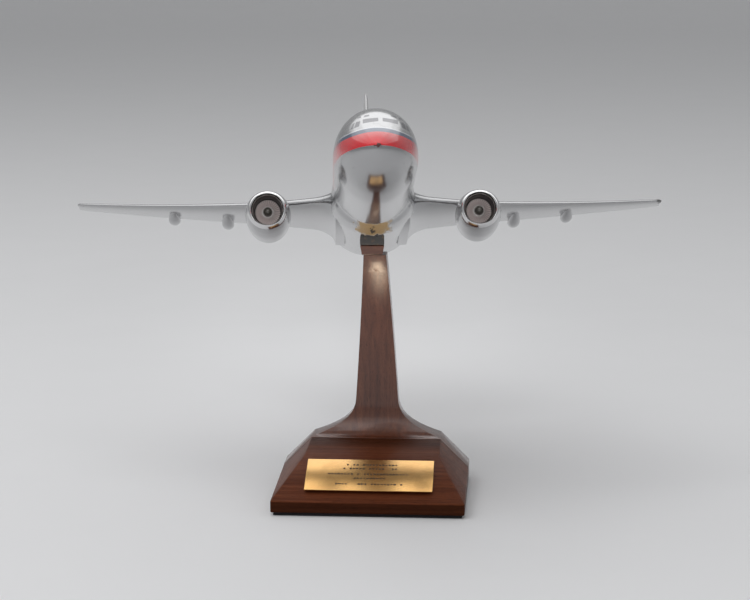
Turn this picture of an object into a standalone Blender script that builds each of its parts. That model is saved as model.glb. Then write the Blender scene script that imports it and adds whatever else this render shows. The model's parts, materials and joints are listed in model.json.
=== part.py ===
"""Desktop airliner model: a carved twin-jet on a swivelling stud over a walnut stand.

Frame: origin at the centre of the stand's underside, +Z up, the nose towards -Y and
the aircraft's left (port) side towards +X.  The aircraft's own pieces are drawn in the
aircraft frame (x to port, y aft from the nose tip, z up from the body's reference line)
and placed by the empty that sits on the swivel's axis.
"""
import math

import bmesh
import bpy
from mathutils import Matrix, Vector

MM = 0.001
GAP = 0.3 * MM                      # clearance kept between neighbouring pieces

# ---- stand ----------------------------------------------------------------------
BASE_HALF_WIDTH = 44.5 * MM
WEDGE_DEPTH = 60.6 * MM             # front block, horizontal grain
BOARD_THICKNESS = 16.0 * MM         # upright board glued behind it, vertical grain
FELT_THICKNESS = 1.2 * MM
FELT_INSET = 1.0 * MM
SLAB_HEIGHT = 7.0 * MM              # top of the upright front edge
SLOPE_DEPTH = 32.1 * MM             # where the plaque's slope meets the near-level top
SLOPE_TOP = 20.9 * MM
TOP_HEIGHT = 22.4 * MM              # top of the block where the board's sweep begins
SIDE_STEP = 13.7 * MM               # rise, and run, of the 45 degree sides
TOP_HALF_WIDTH = BASE_HALF_WIDTH - SIDE_STEP

STEM_TOP = 112.8 * MM
STEM_AXIS_DEPTH = 59.2 * MM         # swivel axis, measured back from the front edge
STEM_TOP_HALF_WIDTH = 5.3 * MM
STEM_FOOT_HALF_WIDTH = 11.3 * MM    # what the straight taper would be at TOP_HEIGHT
FLARE_HEIGHT = 19.0 * MM            # height in which the stem spreads to the full top
SWEEP_HEIGHT = 15.0 * MM            # height in which the front face turns upright
SWEEP_DEPTH = 8.3 * MM
FRONT_LEAN = 16.5 * MM              # how far the front face comes forward by the top
BACK_LEAN = 13.4 * MM

PLAQUE_WIDTH = 59.0 * MM
PLAQUE_HEIGHT = 23.0 * MM
PLAQUE_THICKNESS = 0.8 * MM
TAPE_THICKNESS = 0.4 * MM
TAPE_INSET = 2.0 * MM
PLAQUE_UP_SLOPE = 18.2 * MM         # plaque's centre, measured up the slope

DOWEL_RADIUS = 3.0 * MM
DOWEL_LENGTH = 22.0 * MM
DOWEL_SPREAD = 22.0 * MM
DOWEL_HEIGHT = 10.0 * MM

# ---- swivel mounting ---------------------------------------------------------------
STUD_RADIUS = 1.6 * MM
STUD_IN_STEM = 6.5 * MM
STUD_ABOVE_STEM = 19.0 * MM
BUSH_WALL = 1.2 * MM                # from the stud's clearance to the bush's outside
WASHER_RADIUS = 3.6 * MM
WASHER_THICKNESS = 0.5 * MM
BLOCK_HEIGHT = 4.4 * MM             # wooden block that turns on the stem's top
BLOCK_TAPER = 0.7 * MM
COLLAR_WIDTH = 11.3 * MM
COLLAR_LENGTH = 12.0 * MM
COLLAR_CENTRE_AHEAD = 2.6 * MM      # the collar's middle lies this far ahead of the axis
AIRCRAFT_OFFSET = -1.6 * MM         # the belly's middle beside the swivel axis
NOSE_UP = math.radians(17.1)
TURNED = math.radians(4.9)          # the aircraft as it stands, turned on its stud
BANK = math.radians(-0.26)

# ---- aircraft, 1:100 ----------------------------------------------------------------
HALF_SPAN = 144.4 * MM
FUSELAGE_LENGTH = 321.8 * MM
MOUNT_STATION = 148.1 * MM
SEAT_LEVEL = -21.9 * MM             # flat on the belly where the collar is screwed

# station from the nose, half width, top, bottom
FUSELAGE_KEYS = [
    (0.0, 0.8, -3.8, -5.2), (1.5, 4.2, -0.9, -8.4), (4, 6.9, 1.3, -10.6),
    (10, 10.8, 5.2, -14.2), (16, 13.4, 9.2, -16.4), (24, 15.9, 14.2, -18.6),
    (34, 17.4, 17.4, -20.2), (50, 18.4, 19.1, -21.3), (120, 18.4, 19.1, -21.3),
    (200, 18.4, 19.1, -21.3), (230, 17.0, 18.8, -18.4), (260, 13.2, 17.8, -11.6),
    (290, 8.2, 16.0, -3.4), (312, 4.2, 13.9, 3.0), (321.8, 2.2, 12.4, 7.4),
]
FUSELAGE_SIDES = 28
# station, half width, top, bottom of the belly block that carries the wings
FAIRING_KEYS = [
    (106, 12.0, 2.0, -18.6), (118, 18.4, 6.0, -21.9), (134, 19.9, 6.7, -22.7),
    (170, 19.9, 6.7, -22.7), (204, 19.6, 6.5, -22.6), (220, 17.0, 4.0, -19.5),
    (232, 12.0, 1.0, -15.0),
]

WING_ROOT_X = 18.8 * MM
WING_ROOT_LE = 127.0 * MM
WING_ROOT_CHORD = 57.0 * MM
WING_KINK_X = 49.0 * MM
WING_KINK_LE = 143.7 * MM
WING_KINK_CHORD = 39.5 * MM
WING_TIP_LE = 194.2 * MM
WING_TIP_CHORD = 15.6 * MM
WING_ROOT_Z = -12.2 * MM
WING_DIHEDRAL = math.radians(5.2)
WING_FLEX = 3.0 * MM                # extra rise of the tip from the upward curve
WING_INCIDENCE = math.radians(1.5)
WING_WASHOUT = math.radians(5.0)    # how much further nose-up the root is set than the tip
WING_ROOT_THICKNESS = 0.135         # thickness as a share of the chord
WING_KINK_THICKNESS = 0.12
WING_TIP_THICKNESS = 0.12
TRAILING_EDGE = 0.4 * MM

TAIL_HALF_SPAN = 63.5 * MM
TAIL_ROOT_X = 5.0 * MM
TAIL_ROOT_LE = 284.0 * MM
TAIL_ROOT_CHORD = 38.0 * MM
TAIL_TIP_LE = 321.0 * MM
TAIL_TIP_CHORD = 13.0 * MM
TAIL_ROOT_Z = 9.5 * MM
TAIL_DIHEDRAL = math.radians(7.0)
TAIL_THICKNESS = 0.10

FIN_TIP_Z = 79.0 * MM
# height above the reference line, leading edge, trailing edge, half thickness
FIN_KEYS = [(6, 212, 316, 1.2), (17, 220, 314.5, 1.4), (22, 241, 315.2, 1.7),
            (30, 258, 316.6, 1.75), (45, 271.5, 319.5, 1.6), (62, 286.5, 322.8, 1.35),
            (76, 299, 325.4, 1.1), (79, 303, 325.6, 0.7)]

ENGINE_X = 48.3 * MM
INLET_STATION = 104.3 * MM
# distance behind the inlet plane, half width, height above and below, centre level
COWL_KEYS = [(0.0, 8.35, 7.75, 7.45, -14.8), (1.0, 8.9, 8.4, 8.2, -14.8),
             (2.6, 9.3, 8.9, 8.9, -14.8), (8, 10.1, 9.6, 10.1, -15.0),
             (16, 10.45, 10.0, 11.0, -15.3), (24, 10.1, 9.6, 11.1, -15.6),
             (35, 7.8, 7.2, 8.6, -16.2)]
LIP_LENGTH = 2.6 * MM
DUCT_RADIUS = 6.1 * MM
THROAT_RADIUS = 6.8 * MM
DUCT_DEPTH = 10.8 * MM
TAILPIPE_RADIUS = 6.2 * MM
TAILPIPE_DEPTH = 4.0 * MM
FAN_THICKNESS = 1.2 * MM
SPINNER_RADIUS = 2.2 * MM
SPINNER_LENGTH = 4.0 * MM
FAN_PIN_RADIUS = 0.9 * MM
CORE_RADIUS = 4.7 * MM
CORE_END_RADIUS = 3.9 * MM
CORE_LENGTH = 15.0 * MM
CONE_LENGTH = 6.5 * MM
CORE_DROOP = 1.6 * MM

# lateral place, half width, depth below the wing, length ahead of and behind the edge
TRACK_FAIRINGS = [("inner", 69.5, 3.0, 4.7, 22.0, 7.0), ("outer", 96.0, 2.9, 4.4, 20.0, 6.0)]

WING_PIN_RADIUS = 1.3 * MM
WING_PIN_LENGTH = 24.0 * MM
WING_PIN_BEHIND_EDGE = 24.0 * MM
TAIL_PIN_RADIUS = 0.7 * MM
TAIL_PIN_LENGTH = 13.0 * MM
FIN_PIN_RADIUS = 0.8 * MM
FIN_PIN_STATIONS = (("front", 264.0), ("rear", 290.0))
FIN_PIN_LOW = 10.0 * MM
FIN_PIN_HIGH = 27.0 * MM

BASE_DEPTH = WEDGE_DEPTH + BOARD_THICKNESS
FRONT_Y = -BASE_DEPTH / 2
AXIS_Y = FRONT_Y + STEM_AXIS_DEPTH
BLOCK_BOTTOM = STEM_TOP + GAP
COLLAR_BOTTOM = BLOCK_BOTTOM + BLOCK_HEIGHT + GAP
SEAT_AT_AXIS = COLLAR_BOTTOM + 2.2 * MM
BUSH_RADIUS = STUD_RADIUS + GAP + BUSH_WALL


# ---- scene ---------------------------------------------------------------------------
for old in list(bpy.data.objects):
    bpy.data.objects.remove(old, do_unlink=True)


def new_collection(name):
    group = bpy.data.collections.new(name)
    bpy.context.scene.collection.children.link(group)
    return group


PARTS = new_collection("desktop_airliner_model")
CUTTERS = new_collection("cutters")


def finish(name, colour, roughness, metallic=0.0):
    material = bpy.data.materials.new(name)
    material.use_nodes = True
    shader = material.node_tree.nodes["Principled BSDF"]
    shader.inputs["Base Color"].default_value = (*colour, 1.0)
    shader.inputs["Roughness"].default_value = roughness
    shader.inputs["Metallic"].default_value = metallic
    return material


SILVER = finish("silver_lacquer", (0.62, 0.63, 0.65), 0.18, 0.6)
TAIL_GREY = finish("tail_grey_lacquer", (0.33, 0.37, 0.45), 0.25)
CHROME = finish("polished_metal", (0.85, 0.85, 0.86), 0.08, 1.0)
FAN_GREY = finish("fan_paint", (0.16, 0.15, 0.15), 0.45)
STEEL = finish("steel", (0.45, 0.46, 0.48), 0.35, 1.0)
BRASS = finish("brass", (0.83, 0.62, 0.30), 0.25, 1.0)
SLATE = finish("slate_plate", (0.09, 0.10, 0.12), 0.35, 0.5)
WALNUT = finish("walnut_lacquer", (0.16, 0.06, 0.035), 0.3)
FELT = finish("felt", (0.012, 0.012, 0.014), 0.95)
TAPE = finish("tape", (0.75, 0.73, 0.68), 0.8)
NYLON = finish("nylon", (0.80, 0.79, 0.74), 0.5)
BIRCH = finish("birch_dowel", (0.62, 0.47, 0.30), 0.7)


# ---- making and cutting solids ---------------------------------------------------------
def add_object(name, mesh, material, collection=None, parent=None):
    item = bpy.data.objects.new(name, mesh)
    (collection or PARTS).objects.link(item)
    if material:
        item.data.materials.append(material)
    if parent:
        item.parent = parent
    if collection is CUTTERS:
        item.hide_render = True
        item.display_type = "WIRE"
    return item


def loft(name, rings, material=None, closed=False, collection=None, parent=None):
    """Skin rings of equally many points; open ends are capped, a closed loft wraps round."""
    builder = bmesh.new()
    rows = [[builder.verts.new(point) for point in ring] for ring in rings]
    count = len(rings[0])
    pairs = list(zip(rows, rows[1:]))
    if closed:
        pairs.append((rows[-1], rows[0]))
    for low, high in pairs:
        for i in range(count):
            j = (i + 1) % count
            builder.faces.new((low[i], low[j], high[j], high[i]))
    if not closed:
        builder.faces.new(rows[0])
        builder.faces.new(rows[-1])
    bmesh.ops.recalc_face_normals(builder, faces=builder.faces)
    mesh = bpy.data.meshes.new(name)
    builder.to_mesh(mesh)
    builder.free()
    mesh.shade_smooth()
    mesh.set_sharp_from_angle(angle=math.radians(35))
    return add_object(name, mesh, material, collection, parent)


def box(name, low, high, material=None, collection=None, parent=None):
    builder = bmesh.new()
    centre = (Vector(low) + Vector(high)) / 2
    size = Vector(high) - Vector(low)
    place = Matrix.Translation(centre) @ Matrix.Diagonal((*size, 1.0))
    bmesh.ops.create_cube(builder, size=1.0, matrix=place)
    mesh = bpy.data.meshes.new(name)
    builder.to_mesh(mesh)
    builder.free()
    return add_object(name, mesh, material, collection, parent)


def rod(name, start, end, radius, material=None, collection=None, parent=None, sides=20,
        end_radius=None):
    """A cylinder or cone from one point to another."""
    start, end = Vector(start), Vector(end)
    along = end - start
    turn = along.to_track_quat("Z", "Y").to_matrix().to_4x4()
    builder = bmesh.new()
    bmesh.ops.create_cone(
        builder, cap_ends=True, segments=sides, radius1=radius,
        radius2=radius if end_radius is None else end_radius, depth=along.length,
        matrix=Matrix.Translation((start + end) / 2) @ turn)
    mesh = bpy.data.meshes.new(name)
    builder.to_mesh(mesh)
    builder.free()
    mesh.shade_smooth()
    mesh.set_sharp_from_angle(angle=math.radians(35))
    return add_object(name, mesh, material, collection, parent)


def cut(target, *cutters, solver="EXACT"):
    for cutter in cutters:
        step = target.modifiers.new("cut_" + cutter.name, "BOOLEAN")
        step.operation = "DIFFERENCE"
        step.solver = solver
        step.object = cutter


def smooth_between(keys, place):
    """Read a row of hand-set key values at any place, on one smooth curve through them."""
    if place <= keys[0][0]:
        return list(keys[0][1:])
    if place >= keys[-1][0]:
        return list(keys[-1][1:])
    index = max(i for i, key in enumerate(keys) if key[0] <= place)
    left, right = keys[index], keys[index + 1]
    before = keys[max(index - 1, 0)]
    after = keys[min(index + 2, len(keys) - 1)]
    width = right[0] - left[0]
    share = (place - left[0]) / width
    values = []
    for k in range(1, len(left)):
        step = (right[k] - left[k]) / width
        start_slope = limited_slope((left[k] - before[k]) / max(left[0] - before[0], 1e-9), step)
        end_slope = limited_slope(step, (after[k] - right[k]) / max(after[0] - right[0], 1e-9))
        if before is left:
            start_slope = step
        if after is right:
            end_slope = step
        values.append(
            (2 * share**3 - 3 * share**2 + 1) * left[k]
            + (share**3 - 2 * share**2 + share) * width * start_slope
            + (3 * share**2 - 2 * share**3) * right[k]
            + (share**3 - share**2) * width * end_slope)
    return values


def limited_slope(one, other):
    """Slope at a key that never overshoots: zero at a turn, else the harmonic mean."""
    if one * other <= 0:
        return 0.0
    return 2 * one * other / (one + other)


# ---- frames ------------------------------------------------------------------------------
swivel = bpy.data.objects.new("swivel_axis", None)
PARTS.objects.link(swivel)
swivel.location = (0, AXIS_Y, BLOCK_BOTTOM)

aircraft = bpy.data.objects.new("aircraft_frame", None)
PARTS.objects.link(aircraft)
aircraft.parent = swivel
attitude = (Matrix.Rotation(TURNED, 4, "Z") @ Matrix.Rotation(-NOSE_UP, 4, "X")
            @ Matrix.Rotation(BANK, 4, "Y"))
seat_point = Vector((AIRCRAFT_OFFSET, 0, SEAT_AT_AXIS - BLOCK_BOTTOM))
aircraft.matrix_local = (Matrix.Translation(seat_point) @ attitude
                         @ Matrix.Translation((0, -MOUNT_STATION, -SEAT_LEVEL)))
bpy.context.view_layer.update()


def air_loft(name, rings, material=None, closed=False, collection=None):
    return loft(name, rings, material, closed, collection, aircraft)


def air_rod(name, start, end, radius, material=None, collection=None, sides=16,
            end_radius=None):
    return rod(name, start, end, radius, material, collection, aircraft, sides, end_radius)


# ---- fuselage and belly block -----------------------------------------------------------
def oval_ring(station, half_width, top, bottom, grow=0.0, sides=FUSELAGE_SIDES):
    middle = (top + bottom) / 2 * MM
    across = half_width * MM + grow
    up = (top - bottom) / 2 * MM + grow
    return [(across * math.cos(math.tau * k / sides), station,
             middle + up * math.sin(math.tau * k / sides)) for k in range(sides)]


def body_rings(keys, grow=0.0, step=12.0, nose_end=50.0, nose_step=4.0):
    """Rings at every key and, on long stretches, at even steps between them."""
    places = []
    for left, right in zip(keys, keys[1:]):
        length = right[0] - left[0]
        parts = max(1, round(length / (nose_step if right[0] <= nose_end else step)))
        places += [left[0] + (right[0] - left[0]) * i / parts for i in range(parts)]
    places.append(keys[-1][0])
    rings = []
    for place in places:
        station = place * MM
        if place == places[0]:
            station -= grow
        if place == places[-1]:
            station += grow
        rings.append(oval_ring(station, *smooth_between(keys, place), grow=grow))
    return rings


fuselage = air_loft("fuselage", body_rings(FUSELAGE_KEYS), SILVER)
fuselage_room = air_loft("fuselage_room", body_rings(FUSELAGE_KEYS, GAP), collection=CUTTERS)
fairing = air_loft("wing_body_fairing", body_rings(FAIRING_KEYS), SILVER)
fairing_room = air_loft("fairing_room", body_rings(FAIRING_KEYS, GAP), collection=CUTTERS)
# EXACT leaves open edges where these two skins graze each other, so MANIFOLD makes this cut
cut(fuselage, fairing_room, solver="MANIFOLD")


# ---- wings, tailplane and fin ------------------------------------------------------------
CHORD_STEPS = 8


def section_ring(x, lead, chord, level, thickness, grow=0.0, camber=0.015, incidence=0.0):
    """A cambered aerofoil section standing across x, from trailing edge over the top."""
    ring = []
    fractions = [0.5 - 0.5 * math.cos(math.pi * i / CHORD_STEPS) for i in range(CHORD_STEPS + 1)]
    for side, order in ((1, reversed(fractions)), (-1, fractions)):
        for f in order:
            if side < 0 and f == 0.0:
                continue
            half = 5 * thickness * chord * (0.2969 * math.sqrt(f) - 0.126 * f - 0.3516 * f**2
                                            + 0.2843 * f**3 - 0.1036 * f**4)
            half += f * TRAILING_EDGE / 2 + grow
            if f == 0.0:
                half = 0.0
            mean = 4 * camber * chord * f * (1 - f)
            y = lead - grow + f * (chord + 2 * grow)
            z = level + mean + side * half - (f - 0.25) * chord * math.tan(incidence)
            ring.append((x, y, z))
    return ring


def wing_station(x):
    """Leading edge, chord, level, thickness and incidence of the wing at lateral place x."""
    if x <= WING_KINK_X:
        share = (x - WING_ROOT_X) / (WING_KINK_X - WING_ROOT_X)
        ends = ((WING_ROOT_LE, WING_ROOT_CHORD, WING_ROOT_THICKNESS),
                (WING_KINK_LE, WING_KINK_CHORD, WING_KINK_THICKNESS))
    else:
        share = (x - WING_KINK_X) / (HALF_SPAN - WING_KINK_X)
        ends = ((WING_KINK_LE, WING_KINK_CHORD, WING_KINK_THICKNESS),
                (WING_TIP_LE, WING_TIP_CHORD, WING_TIP_THICKNESS))
    lead, chord, thickness = (a + (b - a) * share for a, b in zip(*ends))
    out = (x - WING_ROOT_X) / (HALF_SPAN - WING_ROOT_X)
    incidence = WING_INCIDENCE + WING_WASHOUT * (1 - max(out, 0.0))
    twist = math.tan(incidence) - math.tan(WING_INCIDENCE)     # turned about the trailing edge
    level = (WING_ROOT_Z + (x - WING_ROOT_X) * math.tan(WING_DIHEDRAL)
             + WING_FLEX * out * abs(out) + 0.75 * chord * twist)
    return lead, chord, level, thickness, incidence


def wing_rings(side, grow=0.0):
    places = [6 * MM, WING_ROOT_X, (WING_ROOT_X + WING_KINK_X) / 2, WING_KINK_X]
    places += [WING_KINK_X + (HALF_SPAN - WING_KINK_X) * i / 5 for i in range(1, 5)]
    rings = []
    for x in places + [HALF_SPAN - 1.2 * MM]:
        lead, chord, level, thickness, incidence = wing_station(x)
        rings.append(section_ring(side * x, lead, chord, level, thickness, grow,
                                  incidence=incidence))
    lead, chord, level, thickness, incidence = wing_station(HALF_SPAN)
    rings.append(section_ring(side * (HALF_SPAN + grow), lead + 2.2 * MM, chord - 3.4 * MM,
                              level + 0.1 * MM, thickness * 0.7, grow, incidence=incidence))
    return rings


def tail_station(x):
    share = (x - TAIL_ROOT_X) / (TAIL_HALF_SPAN - TAIL_ROOT_X)
    lead = TAIL_ROOT_LE + (TAIL_TIP_LE - TAIL_ROOT_LE) * share
    chord = TAIL_ROOT_CHORD + (TAIL_TIP_CHORD - TAIL_ROOT_CHORD) * share
    return lead, chord, TAIL_ROOT_Z + (x - TAIL_ROOT_X) * math.tan(TAIL_DIHEDRAL)


def tail_rings(side, grow=0.0):
    rings = []
    for x in (1.6 * MM, 24 * MM, 44 * MM, TAIL_HALF_SPAN - 1.0 * MM):
        rings.append(section_ring(side * x, *tail_station(x), TAIL_THICKNESS, grow, camber=0))
    lead, chord, level = tail_station(TAIL_HALF_SPAN)
    rings.append(section_ring(side * (TAIL_HALF_SPAN + grow), lead + 2.0 * MM, chord - 3.0 * MM,
                              level, TAIL_THICKNESS * 0.6, grow, camber=0))
    return rings


def fin_ring(height, lead, trail, half, grow=0.0, steps=8):
    """A symmetric section lying level at one height of the fin."""
    lead, trail, half = lead * MM - grow, trail * MM + grow, half * MM + grow
    ring = []
    fractions = [0.5 - 0.5 * math.cos(math.pi * i / steps) for i in range(steps + 1)]
    for side, order in ((1, reversed(fractions)), (-1, fractions)):
        for f in order:
            if side < 0 and f == 0.0:
                continue
            round_nose = 2.6 * math.sqrt(f) * (1 - f) + 0.35 * f * (1 - f)
            edge = f * TRAILING_EDGE / 2
            wide = 0.0 if f == 0.0 else half * min(round_nose, 1.0) + edge
            ring.append((side * wide, lead + f * (trail - lead), height * MM))
    return ring


def fin_rings(grow=0.0):
    heights = [6, 17, 19.5, 22, 26, 30, 38, 45, 54, 62, 70, 76, 79]
    return [fin_ring(h, *smooth_between(FIN_KEYS, h), grow=grow) for h in heights]


fin = air_loft("fin", fin_rings(), TAIL_GREY)
fin_room = air_loft("fin_room", fin_rings(GAP), collection=CUTTERS)
cut(fin, fuselage_room)

SIDES = (("left", 1), ("right", -1))
for hand, side in SIDES:
    wing = air_loft("wing_" + hand, wing_rings(side), SILVER)
    wing_room = air_loft("wing_room_" + hand, wing_rings(side, GAP), collection=CUTTERS)
    cut(wing, fairing_room, fuselage_room, solver="MANIFOLD")
    tailplane = air_loft("tailplane_" + hand, tail_rings(side), SILVER)
    cut(tailplane, fuselage_room)

    # steel pin that locates the wing on the belly block
    x_in = WING_ROOT_X - WING_PIN_LENGTH / 2
    x_out = WING_ROOT_X + WING_PIN_LENGTH / 2
    y_pin = WING_ROOT_LE + WING_PIN_BEHIND_EDGE
    rise = (x_out - WING_ROOT_X) * math.tan(WING_DIHEDRAL)
    lead, chord, level, _, incidence = wing_station(WING_ROOT_X)
    camber_lift = 0.6 * MM
    pin_z = level - (y_pin - lead - 0.25 * chord) * math.tan(incidence) + camber_lift
    ends = ((side * x_in, y_pin, pin_z - rise), (side * x_out, y_pin, pin_z + rise))
    air_rod("wing_pin_" + hand, *ends, WING_PIN_RADIUS, STEEL)
    reach = Vector(ends[1]) - Vector(ends[0])
    reach = reach.normalized() * GAP
    pin_hole = air_rod("wing_pin_hole_" + hand, Vector(ends[0]) - reach, Vector(ends[1]) + reach,
                       WING_PIN_RADIUS + GAP, collection=CUTTERS)
    cut(fairing, pin_hole)
    cut(wing, pin_hole)

    # brass pin that locates the tailplane half
    x_in, x_out = 2.2 * MM, 2.2 * MM + TAIL_PIN_LENGTH
    y_pin = TAIL_ROOT_LE + 0.38 * TAIL_ROOT_CHORD
    ends = [(side * x, y_pin, tail_station(x)[2]) for x in (x_in, x_out)]
    air_rod("tailplane_pin_" + hand, *ends, TAIL_PIN_RADIUS, BRASS, sides=12)
    reach = (Vector(ends[1]) - Vector(ends[0])).normalized() * GAP
    pin_hole = air_rod("tailplane_pin_hole_" + hand, Vector(ends[0]) - reach,
                       Vector(ends[1]) + reach, TAIL_PIN_RADIUS + GAP, collection=CUTTERS,
                       sides=12)
    cut(fuselage, pin_hole)
    cut(tailplane, pin_hole)

for place, station in FIN_PIN_STATIONS:
    low, high = (0, station * MM, FIN_PIN_LOW), (0, station * MM, FIN_PIN_HIGH)
    air_rod("fin_pin_" + place, low, high, FIN_PIN_RADIUS, BRASS, sides=12)
    reach = Vector((0, 0, GAP))
    pin_hole = air_rod("fin_pin_hole_" + place, Vector(low) - reach, Vector(high) + reach,
                       FIN_PIN_RADIUS + GAP, collection=CUTTERS, sides=12)
    cut(fuselage, pin_hole)
    cut(fin, pin_hole, solver="MANIFOLD")


# ---- engines -----------------------------------------------------------------------------
ENGINE_SIDES = 24


def engine_ring(side, behind, across, above, below, level):
    """An upright oval ring round one engine's middle, flatter above than below."""
    ring = []
    for k in range(ENGINE_SIDES):
        turn = math.tau * k / ENGINE_SIDES
        up = above if math.sin(turn) >= 0 else below
        ring.append((side * ENGINE_X + across * math.cos(turn), INLET_STATION + behind,
                     level + up * math.sin(turn)))
    return ring


def cowl_ring(side, behind, grow=0.0):
    across, above, below, level = smooth_between(COWL_KEYS, behind / MM)
    return engine_ring(side, behind, across * MM + grow, above * MM + grow, below * MM + grow,
                       level * MM)


def round_ring(side, behind, radius, level=None):
    if level is None:
        level = engine_level(behind)
    return engine_ring(side, behind, radius, radius, radius, level)


def engine_level(behind):
    return smooth_between(COWL_KEYS, behind / MM)[3] * MM


FAN_FACE = DUCT_DEPTH - 2 * GAP - FAN_THICKNESS
COWL_END = COWL_KEYS[-1][0] * MM
cowl_start = LIP_LENGTH + GAP
CORE_START = COWL_END - TAILPIPE_DEPTH + GAP
CORE_END = CORE_START + CORE_LENGTH
duct_level = engine_level(0.0)

for hand, side in SIDES:
    outer = [cowl_ring(side, cowl_start + (COWL_END - cowl_start) * i / 8) for i in range(9)]
    rings = [round_ring(side, DUCT_DEPTH, DUCT_RADIUS, duct_level),
             round_ring(side, 6 * MM, DUCT_RADIUS + 0.15 * MM, duct_level),
             round_ring(side, cowl_start, THROAT_RADIUS, duct_level)]
    rings += outer
    rings += [round_ring(side, COWL_END, TAILPIPE_RADIUS + 0.3 * MM),
              round_ring(side, COWL_END - TAILPIPE_DEPTH, TAILPIPE_RADIUS)]
    nacelle = air_loft("nacelle_" + hand, rings, SILVER)

    lip = [round_ring(side, LIP_LENGTH, THROAT_RADIUS, duct_level),
           engine_ring(side, 0.9 * MM, 7.25 * MM, 6.9 * MM, 6.7 * MM, duct_level),
           engine_ring(side, 0.2 * MM, 7.7 * MM, 7.2 * MM, 6.95 * MM, duct_level),
           cowl_ring(side, 0.0), cowl_ring(side, 0.4 * MM), cowl_ring(side, 1.2 * MM),
           cowl_ring(side, LIP_LENGTH)]
    air_loft("inlet_lip_" + hand, lip, CHROME, closed=True)

    x = side * ENGINE_X
    fan = air_rod("fan_disc_" + hand, (x, INLET_STATION + FAN_FACE, duct_level),
                  (x, INLET_STATION + FAN_FACE + FAN_THICKNESS, duct_level),
                  DUCT_RADIUS - GAP, FAN_GREY, sides=ENGINE_SIDES)
    spinner_back = FAN_FACE - GAP
    profile = [(0.08, 0.0), (0.42, 0.18), (0.72, 0.45), (0.92, 0.75), (1.0, 1.0)]
    spinner = air_loft("spinner_" + hand, [
        round_ring(side, spinner_back - SPINNER_LENGTH * (1 - along), SPINNER_RADIUS * share,
                   duct_level) for share, along in profile], FAN_GREY)
    pin_ends = ((x, INLET_STATION + spinner_back - 1.8 * MM, duct_level),
                (x, INLET_STATION + DUCT_DEPTH + 8 * MM, duct_level))
    air_rod("fan_pin_" + hand, *pin_ends, FAN_PIN_RADIUS, STEEL, sides=12)
    reach = Vector((0, GAP, 0))
    fan_hole = air_rod("fan_pin_hole_" + hand, Vector(pin_ends[0]) - reach,
                       Vector(pin_ends[1]) + reach, FAN_PIN_RADIUS + GAP, collection=CUTTERS,
                       sides=12)
    for item in (nacelle, fan, spinner):
        cut(item, fan_hole)

    core_level = engine_level(COWL_END)
    end_level = core_level - CORE_DROOP
    core = air_loft("core_nozzle_" + hand, [
        round_ring(side, CORE_START, CORE_RADIUS, core_level),
        round_ring(side, COWL_END + 1 * MM, CORE_RADIUS * 0.98, core_level - CORE_DROOP * 0.2),
        round_ring(side, CORE_END, CORE_END_RADIUS, end_level)], STEEL)
    air_loft("exhaust_cone_" + hand, [
        round_ring(side, CORE_END + GAP, CORE_END_RADIUS * 0.66, end_level),
        round_ring(side, CORE_END + CONE_LENGTH * 0.5, CORE_END_RADIUS * 0.5, end_level),
        round_ring(side, CORE_END + CONE_LENGTH, CORE_END_RADIUS * 0.12, end_level)], STEEL)

    # pylon: distance behind the inlet, half width, top, bottom
    pylon_keys = [(9, 0.5, -5.9, -14.0), (14, 1.3, -4.0, -14.0), (24, 1.6, -3.4, -14.0),
                  (34, 1.6, -4.9, -10.9), (39.5, 1.6, -6.9, -10.9), (46, 1.5, -8.6, -11.8),
                  (56, 1.2, -9.0, -12.3), (66, 0.6, -9.4, -11.6)]
    rings = []
    for behind in (9, 11, 14, 19, 24, 29, 34, 37, 39.5, 43, 46, 51, 56, 61, 66):
        wide, top, bottom = (v * MM for v in smooth_between(pylon_keys, behind))
        middle, up = (top + bottom) / 2, (top - bottom) / 2
        rings.append([(x + wide * dx, INLET_STATION + behind * MM, middle + up * dz)
                      for dx, dz in ((1, -0.8), (1, 0.75), (0.6, 0.95), (0, 1.0),
                                     (-0.6, 0.95), (-1, 0.75), (-1, -0.8), (0, -1.0))])
    pylon = air_loft("pylon_" + hand, rings, SILVER)
    cowl_room = air_loft("cowl_room_" + hand,
                         [cowl_ring(side, COWL_END * i / 9, GAP) for i in range(9)]
                         + [cowl_ring(side, COWL_END + GAP, GAP)], collection=CUTTERS)
    cut(pylon, cowl_room, bpy.data.objects["wing_room_" + hand], solver="MANIFOLD")

    # canoe fairings of the flap tracks
    for place, *sizes in TRACK_FAIRINGS:
        lateral, half, depth, ahead, behind = (size * MM for size in sizes)
        lead, chord, level, _, incidence = wing_station(lateral)
        edge = lead + chord
        slope = math.tan(incidence)
        edge_z = level - 0.75 * chord * slope
        rings = []
        for share in (0.0, 0.06, 0.18, 0.36, 0.56, 0.76, 0.92, 1.0):
            along = -ahead + (ahead + behind) * share
            fat = max(math.sin(math.pi * share) ** 0.6, 0.12)
            centre = edge_z - along * slope - 0.2 * MM - depth * 0.5 * fat
            rings.append([(side * lateral + half * fat * math.cos(math.tau * k / 16),
                           edge + along, centre + depth * 0.55 * fat * math.sin(math.tau * k / 16))
                          for k in range(16)])
        track = air_loft("flap_track_%s_%s" % (place, hand), rings, SILVER)
        cut(track, bpy.data.objects["wing_room_" + hand])


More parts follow.
